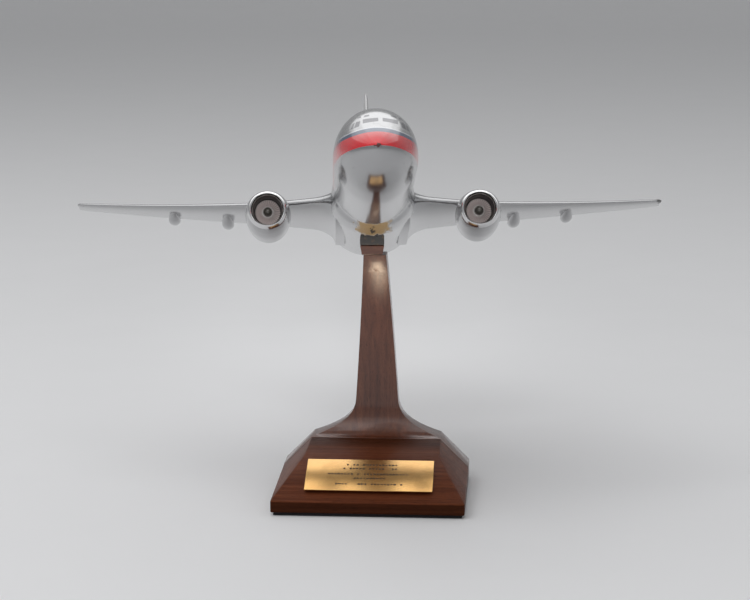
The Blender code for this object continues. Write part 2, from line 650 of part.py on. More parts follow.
# ---- mounting under the belly ------------------------------------------------------------
COLLAR_BLANK = 8.0 * MM             # the collar's height before its top is cut to the belly
collar_frame = bpy.data.objects.new("collar_frame", None)
PARTS.objects.link(collar_frame)
collar_frame.parent = swivel
collar_frame.location = (AIRCRAFT_OFFSET, -COLLAR_CENTRE_AHEAD, 0)
collar_frame.rotation_euler = (0, 0, TURNED)
collar_half = Vector((COLLAR_WIDTH / 2, COLLAR_LENGTH / 2, 0))
collar_lift = Vector((0, 0, COLLAR_BOTTOM - BLOCK_BOTTOM))
collar = box("mount_collar", collar_lift - collar_half,
             collar_lift + collar_half + Vector((0, 0, COLLAR_BLANK)), SLATE, parent=collar_frame)
block_rings = []
for height, share in ((0.0, 1.0), (0.35, 0.75), (0.75, 0.25), (1.0, 0.0)):
    half_x = COLLAR_WIDTH / 2 - BLOCK_TAPER * share
    half_y = COLLAR_LENGTH / 2 - BLOCK_TAPER * share
    block_rings.append([(half_x * x, half_y * y, BLOCK_HEIGHT * height)
                        for x, y in ((-1, -1), (1, -1), (1, 1), (-1, 1))])
swivel_block = loft("swivel_block", block_rings, WALNUT, parent=collar_frame)
far = 40 * MM
belly_side = box("belly_side", (-far, MOUNT_STATION - far, SEAT_LEVEL - GAP),
                 (far, MOUNT_STATION + far, 0), collection=CUTTERS, parent=aircraft)
seat_half = COLLAR_WIDTH / 2 + 1.0 * MM
seat_long = COLLAR_LENGTH / 2 + 1.4 * MM
seat_cut = box("collar_seat",
               (-seat_half, MOUNT_STATION - COLLAR_CENTRE_AHEAD - seat_long, SEAT_LEVEL - 5 * MM),
               (seat_half, MOUNT_STATION - COLLAR_CENTRE_AHEAD + seat_long, SEAT_LEVEL),
               collection=CUTTERS, parent=aircraft)
cut(fairing, seat_cut)

axis = (0, AXIS_Y)
stud_low = STEM_TOP - STUD_IN_STEM
stud_high = STEM_TOP + STUD_ABOVE_STEM
rod("mount_stud", (*axis, stud_low), (*axis, stud_high), STUD_RADIUS, STEEL)
stud_room = rod("stud_room", (*axis, stud_low - GAP), (*axis, stud_high + GAP),
                STUD_RADIUS + GAP, collection=CUTTERS)

bush_low = SEAT_AT_AXIS + 2.4 * MM
bush_high = stud_high + 1.5 * MM
belly_bush = rod("belly_bush", (*axis, bush_low), (*axis, bush_high), BUSH_RADIUS, BRASS,
                 parent=None, sides=24)
bush_room = rod("belly_bush_room", (*axis, stud_low), (*axis, bush_high + GAP),
                BUSH_RADIUS + GAP, collection=CUTTERS, sides=24)
cut(fairing, bush_room)
cut(belly_bush, stud_room)
cut(collar, belly_side, stud_room)
cut(swivel_block, stud_room)

# ---- stand -------------------------------------------------------------------------------
WOOD_LOW = FELT_THICKNESS + GAP


def stem_half_width(z):
    share = (z - TOP_HEIGHT) / (STEM_TOP - TOP_HEIGHT)
    taper = STEM_FOOT_HALF_WIDTH + (STEM_TOP_HALF_WIDTH - STEM_FOOT_HALF_WIDTH) * share
    left = max(0.0, 1 - (z - TOP_HEIGHT) / FLARE_HEIGHT)
    return taper + (TOP_HALF_WIDTH - STEM_FOOT_HALF_WIDTH) * left**3


def stem_front(z):
    rise = min(1.0, (z - TOP_HEIGHT) / SWEEP_HEIGHT)
    back = SWEEP_DEPTH * math.sqrt(max(0.0, 1 - (1 - rise) ** 2))
    upper = max(0.0, (z - TOP_HEIGHT - SWEEP_HEIGHT) / (STEM_TOP - TOP_HEIGHT - SWEEP_HEIGHT))
    return FRONT_Y + WEDGE_DEPTH + back - FRONT_LEAN * upper**2


def stem_back(z):
    upper = max(0.0, (z - TOP_HEIGHT - SWEEP_HEIGHT) / (STEM_TOP - TOP_HEIGHT - SWEEP_HEIGHT))
    return FRONT_Y + BASE_DEPTH - BACK_LEAN * upper**2


def board_ring(z, half, front, back):
    return [(-half, front, z), (half, front, z), (half, back, z), (-half, back, z)]


rings = [board_ring(WOOD_LOW, BASE_HALF_WIDTH, FRONT_Y + WEDGE_DEPTH, FRONT_Y + BASE_DEPTH),
         board_ring(TOP_HEIGHT - SIDE_STEP, BASE_HALF_WIDTH, FRONT_Y + WEDGE_DEPTH,
                    FRONT_Y + BASE_DEPTH)]
heights = [0, 0.15, 0.6, 1.4, 2.6, 4.2, 6.2, 8.4, 10.6, 12.8, 15.0, 17, 19.0]
heights = [TOP_HEIGHT + h * MM for h in heights]
heights += [heights[-1] + (STEM_TOP - heights[-1]) * i / 8 for i in range(1, 9)]
rings += [board_ring(z, stem_half_width(z), stem_front(z), stem_back(z)) for z in heights]
stem = loft("stem_board", rings, WALNUT)

stem_bush_high = STEM_TOP - WASHER_THICKNESS - 2 * GAP
stem_bush = rod("stem_bush", (*axis, stud_low - 1.5 * MM), (*axis, stem_bush_high),
                BUSH_RADIUS, BRASS, sides=24)
stem_bush_room = rod("stem_bush_room", (*axis, stud_low - 1.5 * MM - GAP), (*axis, STEM_TOP + far),
                     BUSH_RADIUS + GAP, collection=CUTTERS, sides=24)
washer = rod("friction_washer", (*axis, STEM_TOP - WASHER_THICKNESS - GAP), (*axis, STEM_TOP - GAP),
             WASHER_RADIUS, NYLON, sides=24)
washer_room = rod("washer_room", (*axis, STEM_TOP - WASHER_THICKNESS - 2 * GAP),
                  (*axis, STEM_TOP + far), WASHER_RADIUS + GAP, collection=CUTTERS, sides=24)
cut(stem, stem_bush_room, washer_room)
cut(stem_bush, stud_room)
cut(washer, stud_room)

# front block: the side outline drawn across the width, then its two corner facets
wedge_back = FRONT_Y + WEDGE_DEPTH - GAP
outline = [(FRONT_Y, WOOD_LOW), (FRONT_Y, SLAB_HEIGHT), (FRONT_Y + SLOPE_DEPTH, SLOPE_TOP),
           (wedge_back, TOP_HEIGHT), (wedge_back, WOOD_LOW)]
wedge = loft("base_wedge", [[(x, y, z) for y, z in outline]
                            for x in (-BASE_HALF_WIDTH, BASE_HALF_WIDTH)], WALNUT)
builder = bmesh.new()
builder.from_mesh(wedge.data)
for side in (-1, 1):
    corner = Vector((side * BASE_HALF_WIDTH, FRONT_Y, SLAB_HEIGHT))
    rear_low = Vector((side * BASE_HALF_WIDTH, wedge_back, TOP_HEIGHT - SIDE_STEP))
    rear_top = Vector((side * TOP_HALF_WIDTH, wedge_back, TOP_HEIGHT))
    facet = (rear_low - corner).cross(rear_top - corner).normalized()
    if facet.x * side < 0:
        facet.negate()
    everything = builder.verts[:] + builder.edges[:] + builder.faces[:]
    cut_result = bmesh.ops.bisect_plane(builder, geom=everything, plane_co=corner,
                                        plane_no=facet, clear_outer=True, dist=1e-7)
    rim = [item for item in cut_result["geom_cut"] if isinstance(item, bmesh.types.BMEdge)]
    bmesh.ops.contextual_create(builder, geom=rim)
bmesh.ops.recalc_face_normals(builder, faces=builder.faces)
builder.to_mesh(wedge.data)
builder.free()

for hand, side in SIDES:
    middle = FRONT_Y + WEDGE_DEPTH - GAP / 2
    start = Vector((side * DOWEL_SPREAD, middle - DOWEL_LENGTH / 2, DOWEL_HEIGHT))
    end = Vector((side * DOWEL_SPREAD, middle + DOWEL_LENGTH / 2, DOWEL_HEIGHT))
    rod("stem_dowel_" + hand, start, end, DOWEL_RADIUS, BIRCH, sides=16)
    reach = Vector((0, GAP, 0))
    hole = rod("stem_dowel_hole_" + hand, start - reach, end + reach, DOWEL_RADIUS + GAP,
               collection=CUTTERS, sides=16)
    cut(wedge, hole)
    cut(stem, hole)

box("base_felt", (-BASE_HALF_WIDTH + FELT_INSET, FRONT_Y + FELT_INSET, 0),
    (BASE_HALF_WIDTH - FELT_INSET, FRONT_Y + BASE_DEPTH - FELT_INSET, FELT_THICKNESS), FELT)

slope = math.atan2(SLOPE_TOP - SLAB_HEIGHT, SLOPE_DEPTH)
plaque_frame = bpy.data.objects.new("plaque_frame", None)
PARTS.objects.link(plaque_frame)
plaque_frame.location = (0, FRONT_Y + PLAQUE_UP_SLOPE * math.cos(slope),
                         SLAB_HEIGHT + PLAQUE_UP_SLOPE * math.sin(slope))
plaque_frame.rotation_euler = (slope, 0, 0)
tape_half = Vector((PLAQUE_WIDTH / 2 - TAPE_INSET, PLAQUE_HEIGHT / 2 - TAPE_INSET, 0))
tape_low, tape_high = GAP, GAP + TAPE_THICKNESS
box("plaque_tape", (-tape_half.x, -tape_half.y, tape_low), (tape_half.x, tape_half.y, tape_high),
    TAPE, parent=plaque_frame)
plate_low = tape_high + GAP
box("plaque", (-PLAQUE_WIDTH / 2, -PLAQUE_HEIGHT / 2, plate_low),
    (PLAQUE_WIDTH / 2, PLAQUE_HEIGHT / 2, plate_low + PLAQUE_THICKNESS), BRASS, parent=plaque_frame)
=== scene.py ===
import json
import math

import bmesh
import bpy
from mathutils import Matrix, Vector


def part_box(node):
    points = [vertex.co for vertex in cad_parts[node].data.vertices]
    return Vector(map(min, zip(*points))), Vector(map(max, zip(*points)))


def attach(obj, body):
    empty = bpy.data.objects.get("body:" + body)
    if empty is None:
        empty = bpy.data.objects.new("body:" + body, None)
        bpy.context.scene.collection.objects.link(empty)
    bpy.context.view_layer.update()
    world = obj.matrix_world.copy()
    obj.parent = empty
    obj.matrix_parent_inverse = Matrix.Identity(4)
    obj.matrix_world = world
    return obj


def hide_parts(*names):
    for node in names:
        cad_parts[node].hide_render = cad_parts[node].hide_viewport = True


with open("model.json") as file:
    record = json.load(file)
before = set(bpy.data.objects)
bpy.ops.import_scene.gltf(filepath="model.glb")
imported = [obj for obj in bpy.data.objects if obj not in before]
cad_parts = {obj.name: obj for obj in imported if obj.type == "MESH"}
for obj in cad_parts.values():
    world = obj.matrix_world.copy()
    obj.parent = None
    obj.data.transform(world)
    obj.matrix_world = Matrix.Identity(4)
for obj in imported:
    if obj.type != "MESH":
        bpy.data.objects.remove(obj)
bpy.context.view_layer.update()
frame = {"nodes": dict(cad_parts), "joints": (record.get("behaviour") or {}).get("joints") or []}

# ---- camera ------------------------------------------------------------------------------
# A long lens a metre in front of the model and a little to its left side, looking down.
camera_data = bpy.data.cameras.new("camera")
camera_data.lens = 111.2
camera_data.sensor_width = 36.0
camera_data.clip_start = 0.05
camera = bpy.data.objects.new("camera", camera_data)
camera.location = (0.07215, -1.05727, 0.2910)
camera.rotation_euler = (math.radians(90 - 10.533), 0.0, math.radians(3.847))
bpy.context.scene.collection.objects.link(camera)
bpy.context.scene.camera = camera


# ---- studio ------------------------------------------------------------------------------
# A pale seamless floor whose far rim turns up like a paper sweep, in an even grey room. One
# large soft light overhead lights it all; three wide scrims are seen only in reflections.
class Wire:
    """A socket that gives a value. Python's operators on wires add Math nodes."""

    def __init__(self, tree, socket):
        self.tree, self.socket = tree, socket

    def math(self, operation, *others):
        return add(self.tree, "ShaderNodeMath", {"operation": operation}, self, *others)["Value"]

    def __add__(self, other):
        return self.math("ADD", other)

    def __sub__(self, other):
        return self.math("SUBTRACT", other)

    def __mul__(self, other):
        return self.math("MULTIPLY", other)

    def __truediv__(self, other):
        return self.math("DIVIDE", other)

    def __pow__(self, other):
        return self.math("POWER", other)

    def __abs__(self):
        return self.math("ABSOLUTE")

    def __rsub__(self, other):
        return self.math("MULTIPLY", -1.0).math("ADD", other)

    def __rpow__(self, other):
        return self.math("MULTIPLY", 0.0).math("ADD", other).math("POWER", self)

    __radd__ = __add__
    __rmul__ = __mul__

    def step(self, low, high):
        """0 below low, 1 above high, and a soft edge between."""
        share = add(self.tree, "ShaderNodeMapRange", {"interpolation_type": "SMOOTHSTEP"},
                    Value=self, From_Min=low, From_Max=high)
        return share["Result"]


class Node:
    """A node; square brackets give one of its outputs as a wire."""

    def __init__(self, tree, node):
        self.tree, self.node = tree, node

    def __getitem__(self, name):
        return Wire(self.tree, next(s for s in self.node.outputs if s.enabled and s.name == name))


def plug(tree, node, values, named):
    """Set a node's sockets, by order or by name, to numbers or to wires."""
    sockets = [s for s in node.inputs if s.enabled]
    pairs = list(zip(sockets, values))
    for name, value in named.items():
        pairs.append((next(s for s in sockets if s.name == name.replace("_", " ")), value))
    for socket, value in pairs:
        if isinstance(value, Wire):
            tree.links.new(value.socket, socket)
        elif value is not None:
            socket.default_value = value


def add(tree, kind, settings=None, *values, **named):
    """Add a node: its settings first, then what its sockets hold."""
    node = tree.nodes.new(kind)
    for name, value in (settings or {}).items():
        if name == "stops":
            elements = node.color_ramp.elements
            for element, (place, colour) in zip((elements[0], elements[-1]), (value[0], value[-1])):
                element.position = place
                element.color = (*colour, 1.0)
            for place, colour in value[1:-1]:
                elements.new(place).color = (*colour, 1.0)
        else:
            setattr(node, name, value)
    plug(tree, node, values, named)
    return Node(tree, node)


def new_material(name):
    material = bpy.data.materials.new(name)
    material.use_nodes = True
    return material, material.node_tree, material.node_tree.nodes["Principled BSDF"]


def in_millimetres(tree, place=None):
    """Object coordinates in millimetres, in the frame that `place` puts in the world."""
    back = (place or Matrix.Identity(4)).inverted()
    source = add(tree, "ShaderNodeTexCoord")["Object"]
    return add(tree, "ShaderNodeMapping", {}, source, back.translation * 1000.0,
               back.to_euler("XYZ"), (1000.0, 1000.0, 1000.0))["Vector"]


def stretched(tree, vector, scale, offset=(0.0, 0.0, 0.0)):
    return add(tree, "ShaderNodeMapping", {}, vector, offset, (0.0, 0.0, 0.0), scale)["Vector"]


def noise(tree, vector, scale, detail=4.0, roughness=0.5, distortion=0.0):
    return add(tree, "ShaderNodeTexNoise", {}, Vector=vector, Scale=scale, Detail=detail,
               Roughness=roughness, Distortion=distortion)["Fac"]


def split(tree, vector):
    parts = add(tree, "ShaderNodeSeparateXYZ", {}, vector)
    return parts["X"], parts["Y"], parts["Z"]


def blend_colour(tree, share, low, high):
    """Mix two colours, which may be wires or plain triples."""
    low, high = (c if isinstance(c, Wire) else (*c, 1.0) for c in (low, high))
    return add(tree, "ShaderNodeMix", {"data_type": "RGBA"},
               Factor=share, A=low, B=high)["Result"]


def bumped(tree, height, distance, strength=1.0):
    return add(tree, "ShaderNodeBump", {}, Height=height, Distance=distance,
               Strength=strength)["Normal"]


def object_from(name, builder, material, smooth_angle=None):
    """Turn a filled bmesh into an object at the origin, shaded smooth up to an angle."""
    mesh = bpy.data.meshes.new(name)
    builder.to_mesh(mesh)
    builder.free()
    if smooth_angle is not None:
        mesh.shade_smooth()
        mesh.set_sharp_from_angle(angle=math.radians(smooth_angle))
    mesh.materials.append(material)
    item = bpy.data.objects.new(name, mesh)
    bpy.context.scene.collection.objects.link(item)
    return item


def studio_paper():
    material, tree, shader = new_material("studio_paper")
    place = in_millimetres(tree)
    tooth = noise(tree, place, 0.02, 3.0)
    colour = blend_colour(tree, tooth, (0.80, 0.80, 0.81), (0.82, 0.82, 0.83))
    plug(tree, shader, (), {"Base Color": colour, "Roughness": 0.65})
    return material


FLOOR_FLAT, FLOOR_RIM, FLOOR_STEPS = 3.2, 1.2, 12
builder = bmesh.new()
profile = [(0.0, 0.0), (FLOOR_FLAT, 0.0)]
for step in range(1, FLOOR_STEPS + 1):
    turn = math.radians(70.0) * step / FLOOR_STEPS
    profile.append((FLOOR_FLAT + FLOOR_RIM * math.sin(turn), FLOOR_RIM * (1 - math.cos(turn))))
points = [builder.verts.new((across, 0.0, height)) for across, height in profile]
edges = [builder.edges.new(pair) for pair in zip(points, points[1:])]
bmesh.ops.spin(builder, geom=points + edges, cent=(0, 0, 0), axis=(0, 0, 1),
               angle=math.tau, steps=96, use_merge=True)
bmesh.ops.remove_doubles(builder, verts=builder.verts, dist=1e-5)
bmesh.ops.recalc_face_normals(builder, faces=builder.faces)
floor = object_from("studio_floor", builder, studio_paper(), 40)

room = bpy.data.worlds.new("grey_room")
room.use_nodes = True
room.node_tree.nodes["Background"].inputs["Color"].default_value = (0.98, 0.99, 1.0, 1.0)
room.node_tree.nodes["Background"].inputs["Strength"].default_value = 0.36
bpy.context.scene.world = room
bpy.context.scene.view_settings.view_transform = "Standard"


def soft_light(name, place, aim, size, radiance, diffuse=True, glossy=True, spread=180.0,
               tint=(1.0, 1.0, 1.0)):
    """A rectangular light of even radiance, which may be left out of one kind of ray."""
    data = bpy.data.lights.new(name, "AREA")
    data.shape = "RECTANGLE"
    data.size, data.size_y = size
    data.energy = radiance * math.pi * size[0] * size[1]
    data.spread = math.radians(spread)
    data.color = tint
    light = bpy.data.objects.new(name, data)
    light.location = place
    light.rotation_euler = (Vector(aim) - Vector(place)).to_track_quat("-Z", "Y").to_euler()
    light.visible_camera = False
    light.visible_diffuse, light.visible_glossy = diffuse, glossy
    bpy.context.scene.collection.objects.link(light)


soft_light("overhead_softbox", (-0.45, -0.35, 1.5), (0.0, -0.05, 0.0), (1.8, 1.5), 1.65,
           glossy=False)
SCRIM_X, SCRIM_TILT = -0.08, 0.0001
for name, y, height, size, radiance in (("wide_overhead_scrim", 0.42, 1.10, (3.8, 2.75), 0.75),
                                        ("overhead_scrim", 0.17, 1.12, (2.2, 3.25), 0.30),
                                        ("forward_scrim", -0.15, 1.14, (1.1, 3.5), 0.35)):
    soft_light(name, (SCRIM_X, y, height), (SCRIM_X, y + SCRIM_TILT, 0.0), size, radiance,
               diffuse=False)
# light thrown up by the brass plaque on the stem's neck, and a fill down each engine's duct
soft_light("plaque_glow", (0.0, -0.040, 0.030), (0.0, 0.012, 0.112), (0.050, 0.020), 0.36,
           diffuse=False, spread=26.0, tint=(1.0, 0.80, 0.58))
for side in (-1, 1):
    soft_light("duct_fill", (0.06 + 0.047 * side, -0.76, 0.355), (-0.002 + 0.047 * side, -0.03, 0.135),
               (0.10, 0.10), 0.30, glossy=False, spread=8.0)


# ---- base felt ---------------------------------------------------------------------------
# Black felt glued under the stand to save the desk: soft fibres, with a cut edge that
# wanders a little.
def felt_cloth():
    material, tree, shader = new_material("black_felt")
    place = in_millimetres(tree)
    fibres = noise(tree, stretched(tree, place, (1.0, 2.2, 1.0)), 2.6, 8.0, 0.75, 1.2)
    tufts = noise(tree, place, 0.45, 3.0)
    colour = blend_colour(tree, fibres * 0.7 + tufts * 0.3, (0.002, 0.002, 0.003),
                          (0.022, 0.022, 0.026))
    plug(tree, shader, (), {"Base Color": colour, "Roughness": fibres * 0.1 + 0.88,
                            "Sheen Weight": 0.25, "Normal": bumped(tree, fibres, 0.0004, 0.9)})
    return material


FELT_EDGE_STEPS, FELT_WAVE = 60, 0.00012
felt_low, felt_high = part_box("base_felt")
felt_half = (felt_high - felt_low) / 2
builder = bmesh.new()
levels = []
for share in (0.0, 0.08, 0.5, 0.92, 1.0):
    pulled = 0.00018 * (1 - math.sin(math.pi * share)) + FELT_WAVE
    ring = []
    for side in range(4):
        for step in range(FELT_EDGE_STEPS):
            along = -1 + 2 * step / FELT_EDGE_STEPS
            wave = FELT_WAVE * math.sin(23 * along + 9 * side) * math.cos(57 * along + 4 * side)
            corner = [(along, -1), (1, along), (-along, 1), (-1, -along)][side]
            ring.append(builder.verts.new(
                (corner[0] * (felt_half.x - pulled - wave), corner[1] * (felt_half.y - pulled - wave),
                 felt_low.z + share * (felt_high.z - felt_low.z))))
    levels.append(ring)
for low, high in zip(levels, levels[1:]):
    for i in range(len(low)):
        j = (i + 1) % len(low)
        builder.faces.new((low[i], low[j], high[j], high[i]))
builder.faces.new(list(reversed(levels[0])))
builder.faces.new(levels[-1])
bmesh.ops.recalc_face_normals(builder, faces=builder.faces)
felt = object_from("base_felt_pad", builder, felt_cloth(), 50)
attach(felt, "stand")
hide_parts("base_felt")


# ---- base wedge --------------------------------------------------------------------------
# The front block of the stand: walnut with its grain running across, its slope and
# corner facets planed and all edges eased, with no clear coat and only a faint sheen.
def walnut(name, grain, age=0.0, shine=0.55, gloss=0.45, shade_below=None):
    """Walnut whose fibres run along the world axis `grain`, under a thin worn lacquer.
    The last argument is a height in millimetres: below it, and above STEP_EDGE, the wood is painted
    darker as painted shade."""
    material, tree, shader = new_material(name)
    lay = {"X": (0.0, math.radians(90), 0.0), "Z": (0.0, 0.0, 0.0)}[grain]
    source = add(tree, "ShaderNodeTexCoord")["Object"]
    place = add(tree, "ShaderNodeMapping", {}, source, (17.0 * age, 5.0, 0.0), lay,
                (1000.0, 1000.0, 1000.0))["Vector"]
    drift = noise(tree, stretched(tree, place, (1.0, 1.0, 0.10)), 0.10, 3.0)
    rings = noise(tree, stretched(tree, place, (1.0, 0.7, 0.030)), 0.42, 5.0, 0.62, 0.5)
    fibre = noise(tree, stretched(tree, place, (1.0, 1.0, 0.022)), 3.2, 4.0, 0.6)
    pores = noise(tree, stretched(tree, place, (1.0, 1.0, 0.045)), 5.5, 2.0, 0.45)
    pore_mask = pores.step(0.56, 0.66)
    tone = add(tree, "ShaderNodeValToRGB", {"stops": [
        (0.22, (0.040, 0.0080, 0.0025)), (0.44, (0.095, 0.024, 0.0085)),
        (0.58, (0.150, 0.042, 0.0165)), (0.80, (0.250, 0.085, 0.038))]},
        rings * 0.62 + drift * 0.22 + fibre * 0.16)["Color"]
    tone = blend_colour(tree, pore_mask * 0.55, tone, (0.012, 0.0035, 0.0015))
    handled = noise(tree, place, 0.035, 4.0, 0.6)
    if shade_below:
        _, _, height = split(tree, in_millimetres(tree))
        # painted shade: the wood is painted darker below the given height and above STEP_EDGE
        painted_shade = (1 - (height + handled * 0.6).step(shade_below, shade_below + 0.5)).math(
            "MAXIMUM", (height + handled * 0.6).step(STEP_EDGE - 0.4, STEP_EDGE + 0.4))
        tone = blend_colour(tree, painted_shade * 0.62, tone, (0.020, 0.0050, 0.0010))
    relief = fibre * 0.35 - pore_mask * 0.65
    plug(tree, shader, (), {
        "Base Color": tone, "Roughness": handled * 0.16 + pore_mask * 0.18 + 0.26,
        "Specular IOR Level": gloss, "Coat Weight": shine - pore_mask * (0.25 * shine),
        "Coat Roughness": 0.16, "Normal": bumped(tree, relief, 0.00005, 0.55)})
    return material


def tidy_copy(node, name, material, ease, segments=3, angle=28.0):
    """A merged copy of a CAD node with its edges eased."""
    builder = bmesh.new()
    builder.from_mesh(frame["nodes"][node].data)
    bmesh.ops.remove_doubles(builder, verts=builder.verts, dist=1e-6)
    bmesh.ops.dissolve_limit(builder, angle_limit=math.radians(0.5), verts=builder.verts,
                             edges=builder.edges)
    sharp = [e for e in builder.edges if len(e.link_faces) == 2
             and e.calc_face_angle(0.0) > math.radians(angle)]
    bmesh.ops.bevel(builder, geom=sharp, offset=ease, segments=segments, profile=0.5,
                    affect="EDGES", clamp_overlap=True)
    return object_from(name, builder, material, 35)


STEP_EDGE = 22.0
# painted shade: the front block's slab below 6.6 mm and its top above STEP_EDGE are painted darker
walnut_across = walnut("walnut_grain_across", "X", 0.4, 0.0, 0.06, 6.6)
wedge = tidy_copy("base_wedge", "front_block", walnut_across, 0.0006)
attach(wedge, "stand")
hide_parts("base_wedge")


# ---- stem board --------------------------------------------------------------------------
# The upright board behind it, walnut with vertical grain, band-sawn to a slim stem that
# leans forward and flares at its foot; bush and washer sockets are bored in its top.
walnut_upright = walnut("walnut_grain_upright", "Z", 1.3, 0.85, 0.50)
stem = tidy_copy("stem_board", "stem_and_rear_board", walnut_upright, 0.0004, angle=30.0)
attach(stem, "stand")
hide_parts("stem_board")


# ---- plaque ------------------------------------------------------------------------------
# A bright brass plate on double-sided tape, its face brushed along its length and cut with
# five rows of plain engraved strokes, filled dark; the strokes form no letters.
def brushed_brass():
    material, tree, shader = new_material("brushed_brass")
    place = in_millimetres(tree)
    lines = noise(tree, stretched(tree, place, (0.035, 3.0, 3.0)), 4.0, 4.0, 0.7)
    tarnish = noise(tree, place, 0.10, 5.0, 0.6)
    spots = noise(tree, place, 0.9, 2.0).step(0.68, 0.74)
    colour = blend_colour(tree, tarnish.step(0.35, 0.75), (0.72, 0.430, 0.165), (0.64, 0.370, 0.135))
    colour = blend_colour(tree, spots * 0.35, colour, (0.34, 0.20, 0.08))
    plug(tree, shader, (), {"Base Color": colour, "Metallic": 1.0,
                            "Roughness": lines * 0.10 + tarnish * 0.06 + 0.17,
                            "Normal": bumped(tree, lines, 0.00003, 0.22)})
    return material


def dark_filler():
    material, tree, shader = new_material("engraving_filler")
    grit = noise(tree, in_millimetres(tree), 9.0, 3.0)
    plug(tree, shader, (), {"Base Color": blend_colour(tree, grit, (0.030, 0.015, 0.006),
                                                       (0.070, 0.036, 0.014)),
                            "Metallic": 0.1, "Roughness": grit * 0.2 + 0.6,
                            "Normal": bumped(tree, grit, 0.00002, 0.5)})
    return material


PLAQUE_EASE = 0.00018
brass_sheet = brushed_brass()
plaque = tidy_copy("plaque", "brass_plaque", brass_sheet, PLAQUE_EASE, 2)
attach(plaque, "stand")
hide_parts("plaque")


def new_geometry(name, inputs):
    """A Geometry Nodes tree with these named inputs; gives the tree and its input wires."""
    tree = bpy.data.node_groups.new(name, "GeometryNodeTree")
    for label, kind in inputs:
        tree.interface.new_socket(label, in_out="INPUT", socket_type="NodeSocket" + kind)
    tree.interface.new_socket("Geometry", in_out="OUTPUT", socket_type="NodeSocketGeometry")
    entry = add(tree, "NodeGroupInput")
    return tree, {label: entry[label] for label, _ in inputs}


def end_geometry(tree, geometry, material):
    real = add(tree, "GeometryNodeRealizeInstances", {}, geometry)["Geometry"]
    painted = add(tree, "GeometryNodeSetMaterial", {}, real, None, material)["Geometry"]
    add(tree, "NodeGroupOutput", {}, painted)


def grown(name, tree, sizes, place):
    """Bake a tree with these sizes into a plain mesh object, put in its place."""
    seed_mesh = bpy.data.meshes.new(name + "_seed")
    item = bpy.data.objects.new(name + "_seed", seed_mesh)
    bpy.context.scene.collection.objects.link(item)
    step = item.modifiers.new("grow", "NODES")
    step.node_group = tree
    for socket in tree.interface.items_tree:
        if socket.in_out == "INPUT":
            step[socket.identifier] = sizes[socket.name]
    bpy.context.view_layer.update()
    made = bpy.data.meshes.new_from_object(item.evaluated_get(
        bpy.context.evaluated_depsgraph_get()))
    item.modifiers.remove(step)
    bpy.data.objects.remove(item)
    made.name = name
    made.transform(place)
    result = bpy.data.objects.new(name, made)
    bpy.context.scene.collection.objects.link(result)
    return result


def stroke_row():
    """A centred row of short level strokes of uneven length, with gaps like those of words."""
    tree, given = new_geometry("stroke_row", [("Count", "Int"), ("Pitch", "Float"),
                                              ("Height", "Float"), ("Depth", "Float"),
                                              ("Seed", "Int")])
    start = add(tree, "ShaderNodeCombineXYZ", {}, given["Pitch"] * (given["Count"] - 1) * -0.5)
    offset = add(tree, "ShaderNodeCombineXYZ", {}, given["Pitch"])
    line = add(tree, "GeometryNodeMeshLine", {}, Count=given["Count"],
               Start_Location=start["Vector"], Offset=offset["Vector"])["Mesh"]
    gap = add(tree, "FunctionNodeRandomValue", {"data_type": "BOOLEAN"}, Probability=0.17,
              Seed=given["Seed"])["Value"]
    words = add(tree, "GeometryNodeDeleteGeometry", {}, line, gap)["Geometry"]
    length = add(tree, "FunctionNodeRandomValue", {"data_type": "FLOAT"}, Min=0.45, Max=0.86,
                 Seed=given["Seed"] + 7)["Value"]
    tall = add(tree, "FunctionNodeRandomValue", {"data_type": "FLOAT"}, Min=0.8, Max=1.0,
               Seed=given["Seed"] + 3)["Value"]
    scale = add(tree, "ShaderNodeCombineXYZ", {}, length * given["Pitch"],
                tall * given["Height"], given["Depth"])
    stroke = add(tree, "GeometryNodeMeshCube")["Mesh"]
    strokes = add(tree, "GeometryNodeInstanceOnPoints", {}, Points=words, Instance=stroke,
                  Scale=scale["Vector"])["Instances"]
    end_geometry(tree, strokes, dark_filler())
    return tree


SLOPE = math.atan2(13.9, 32.1)
STROKE_PITCH, STROKE_HEIGHT, STROKE_DEPTH, STROKE_PROUD = 0.0015, 0.0012, 0.00006, 0.00001
# height of the row above the plate's middle, in millimetres, and how many strokes it has
STROKE_ROWS = [(7.4, 17), (4.6, 17), (0.5, 26), (-2.6, 10), (-6.9, 21)]
plaque_low, plaque_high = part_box("plaque")
face_middle = Vector((0, (plaque_low.y + plaque_high.y) / 2, (plaque_low.z + plaque_high.z) / 2))
face_lift = 0.0004 + STROKE_PROUD - STROKE_DEPTH / 2
face = (Matrix.Translation(face_middle) @ Matrix.Rotation(SLOPE, 4, "X")
        @ Matrix.Translation((0, 0, face_lift)))
row_tree = stroke_row()
for number, (level, count) in enumerate(STROKE_ROWS, 1):
    row = grown("engraved_row_%d" % number, row_tree,
                {"Count": count, "Pitch": STROKE_PITCH, "Height": STROKE_HEIGHT,
                 "Depth": STROKE_DEPTH, "Seed": 11 * number},
                face @ Matrix.Translation((0, level * 0.001, 0)))
    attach(row, "stand")


def tape_foam():
    material, tree, shader = new_material("tape_foam")
    cells = noise(tree, in_millimetres(tree), 5.0, 5.0, 0.7)
    plug(tree, shader, (), {"Base Color": blend_colour(tree, cells, (0.62, 0.60, 0.55),
                                                       (0.78, 0.76, 0.71)),
                            "Roughness": 0.85, "Normal": bumped(tree, cells, 0.00005, 0.6)})
    return material


def finish_node(node, material):
    """Give a CAD node that keeps its own shape its finish."""
    slots = frame["nodes"][node].data.materials
    if slots:
        slots[0] = material
    else:
        slots.append(material)


finish_node("plaque_tape", tape_foam())


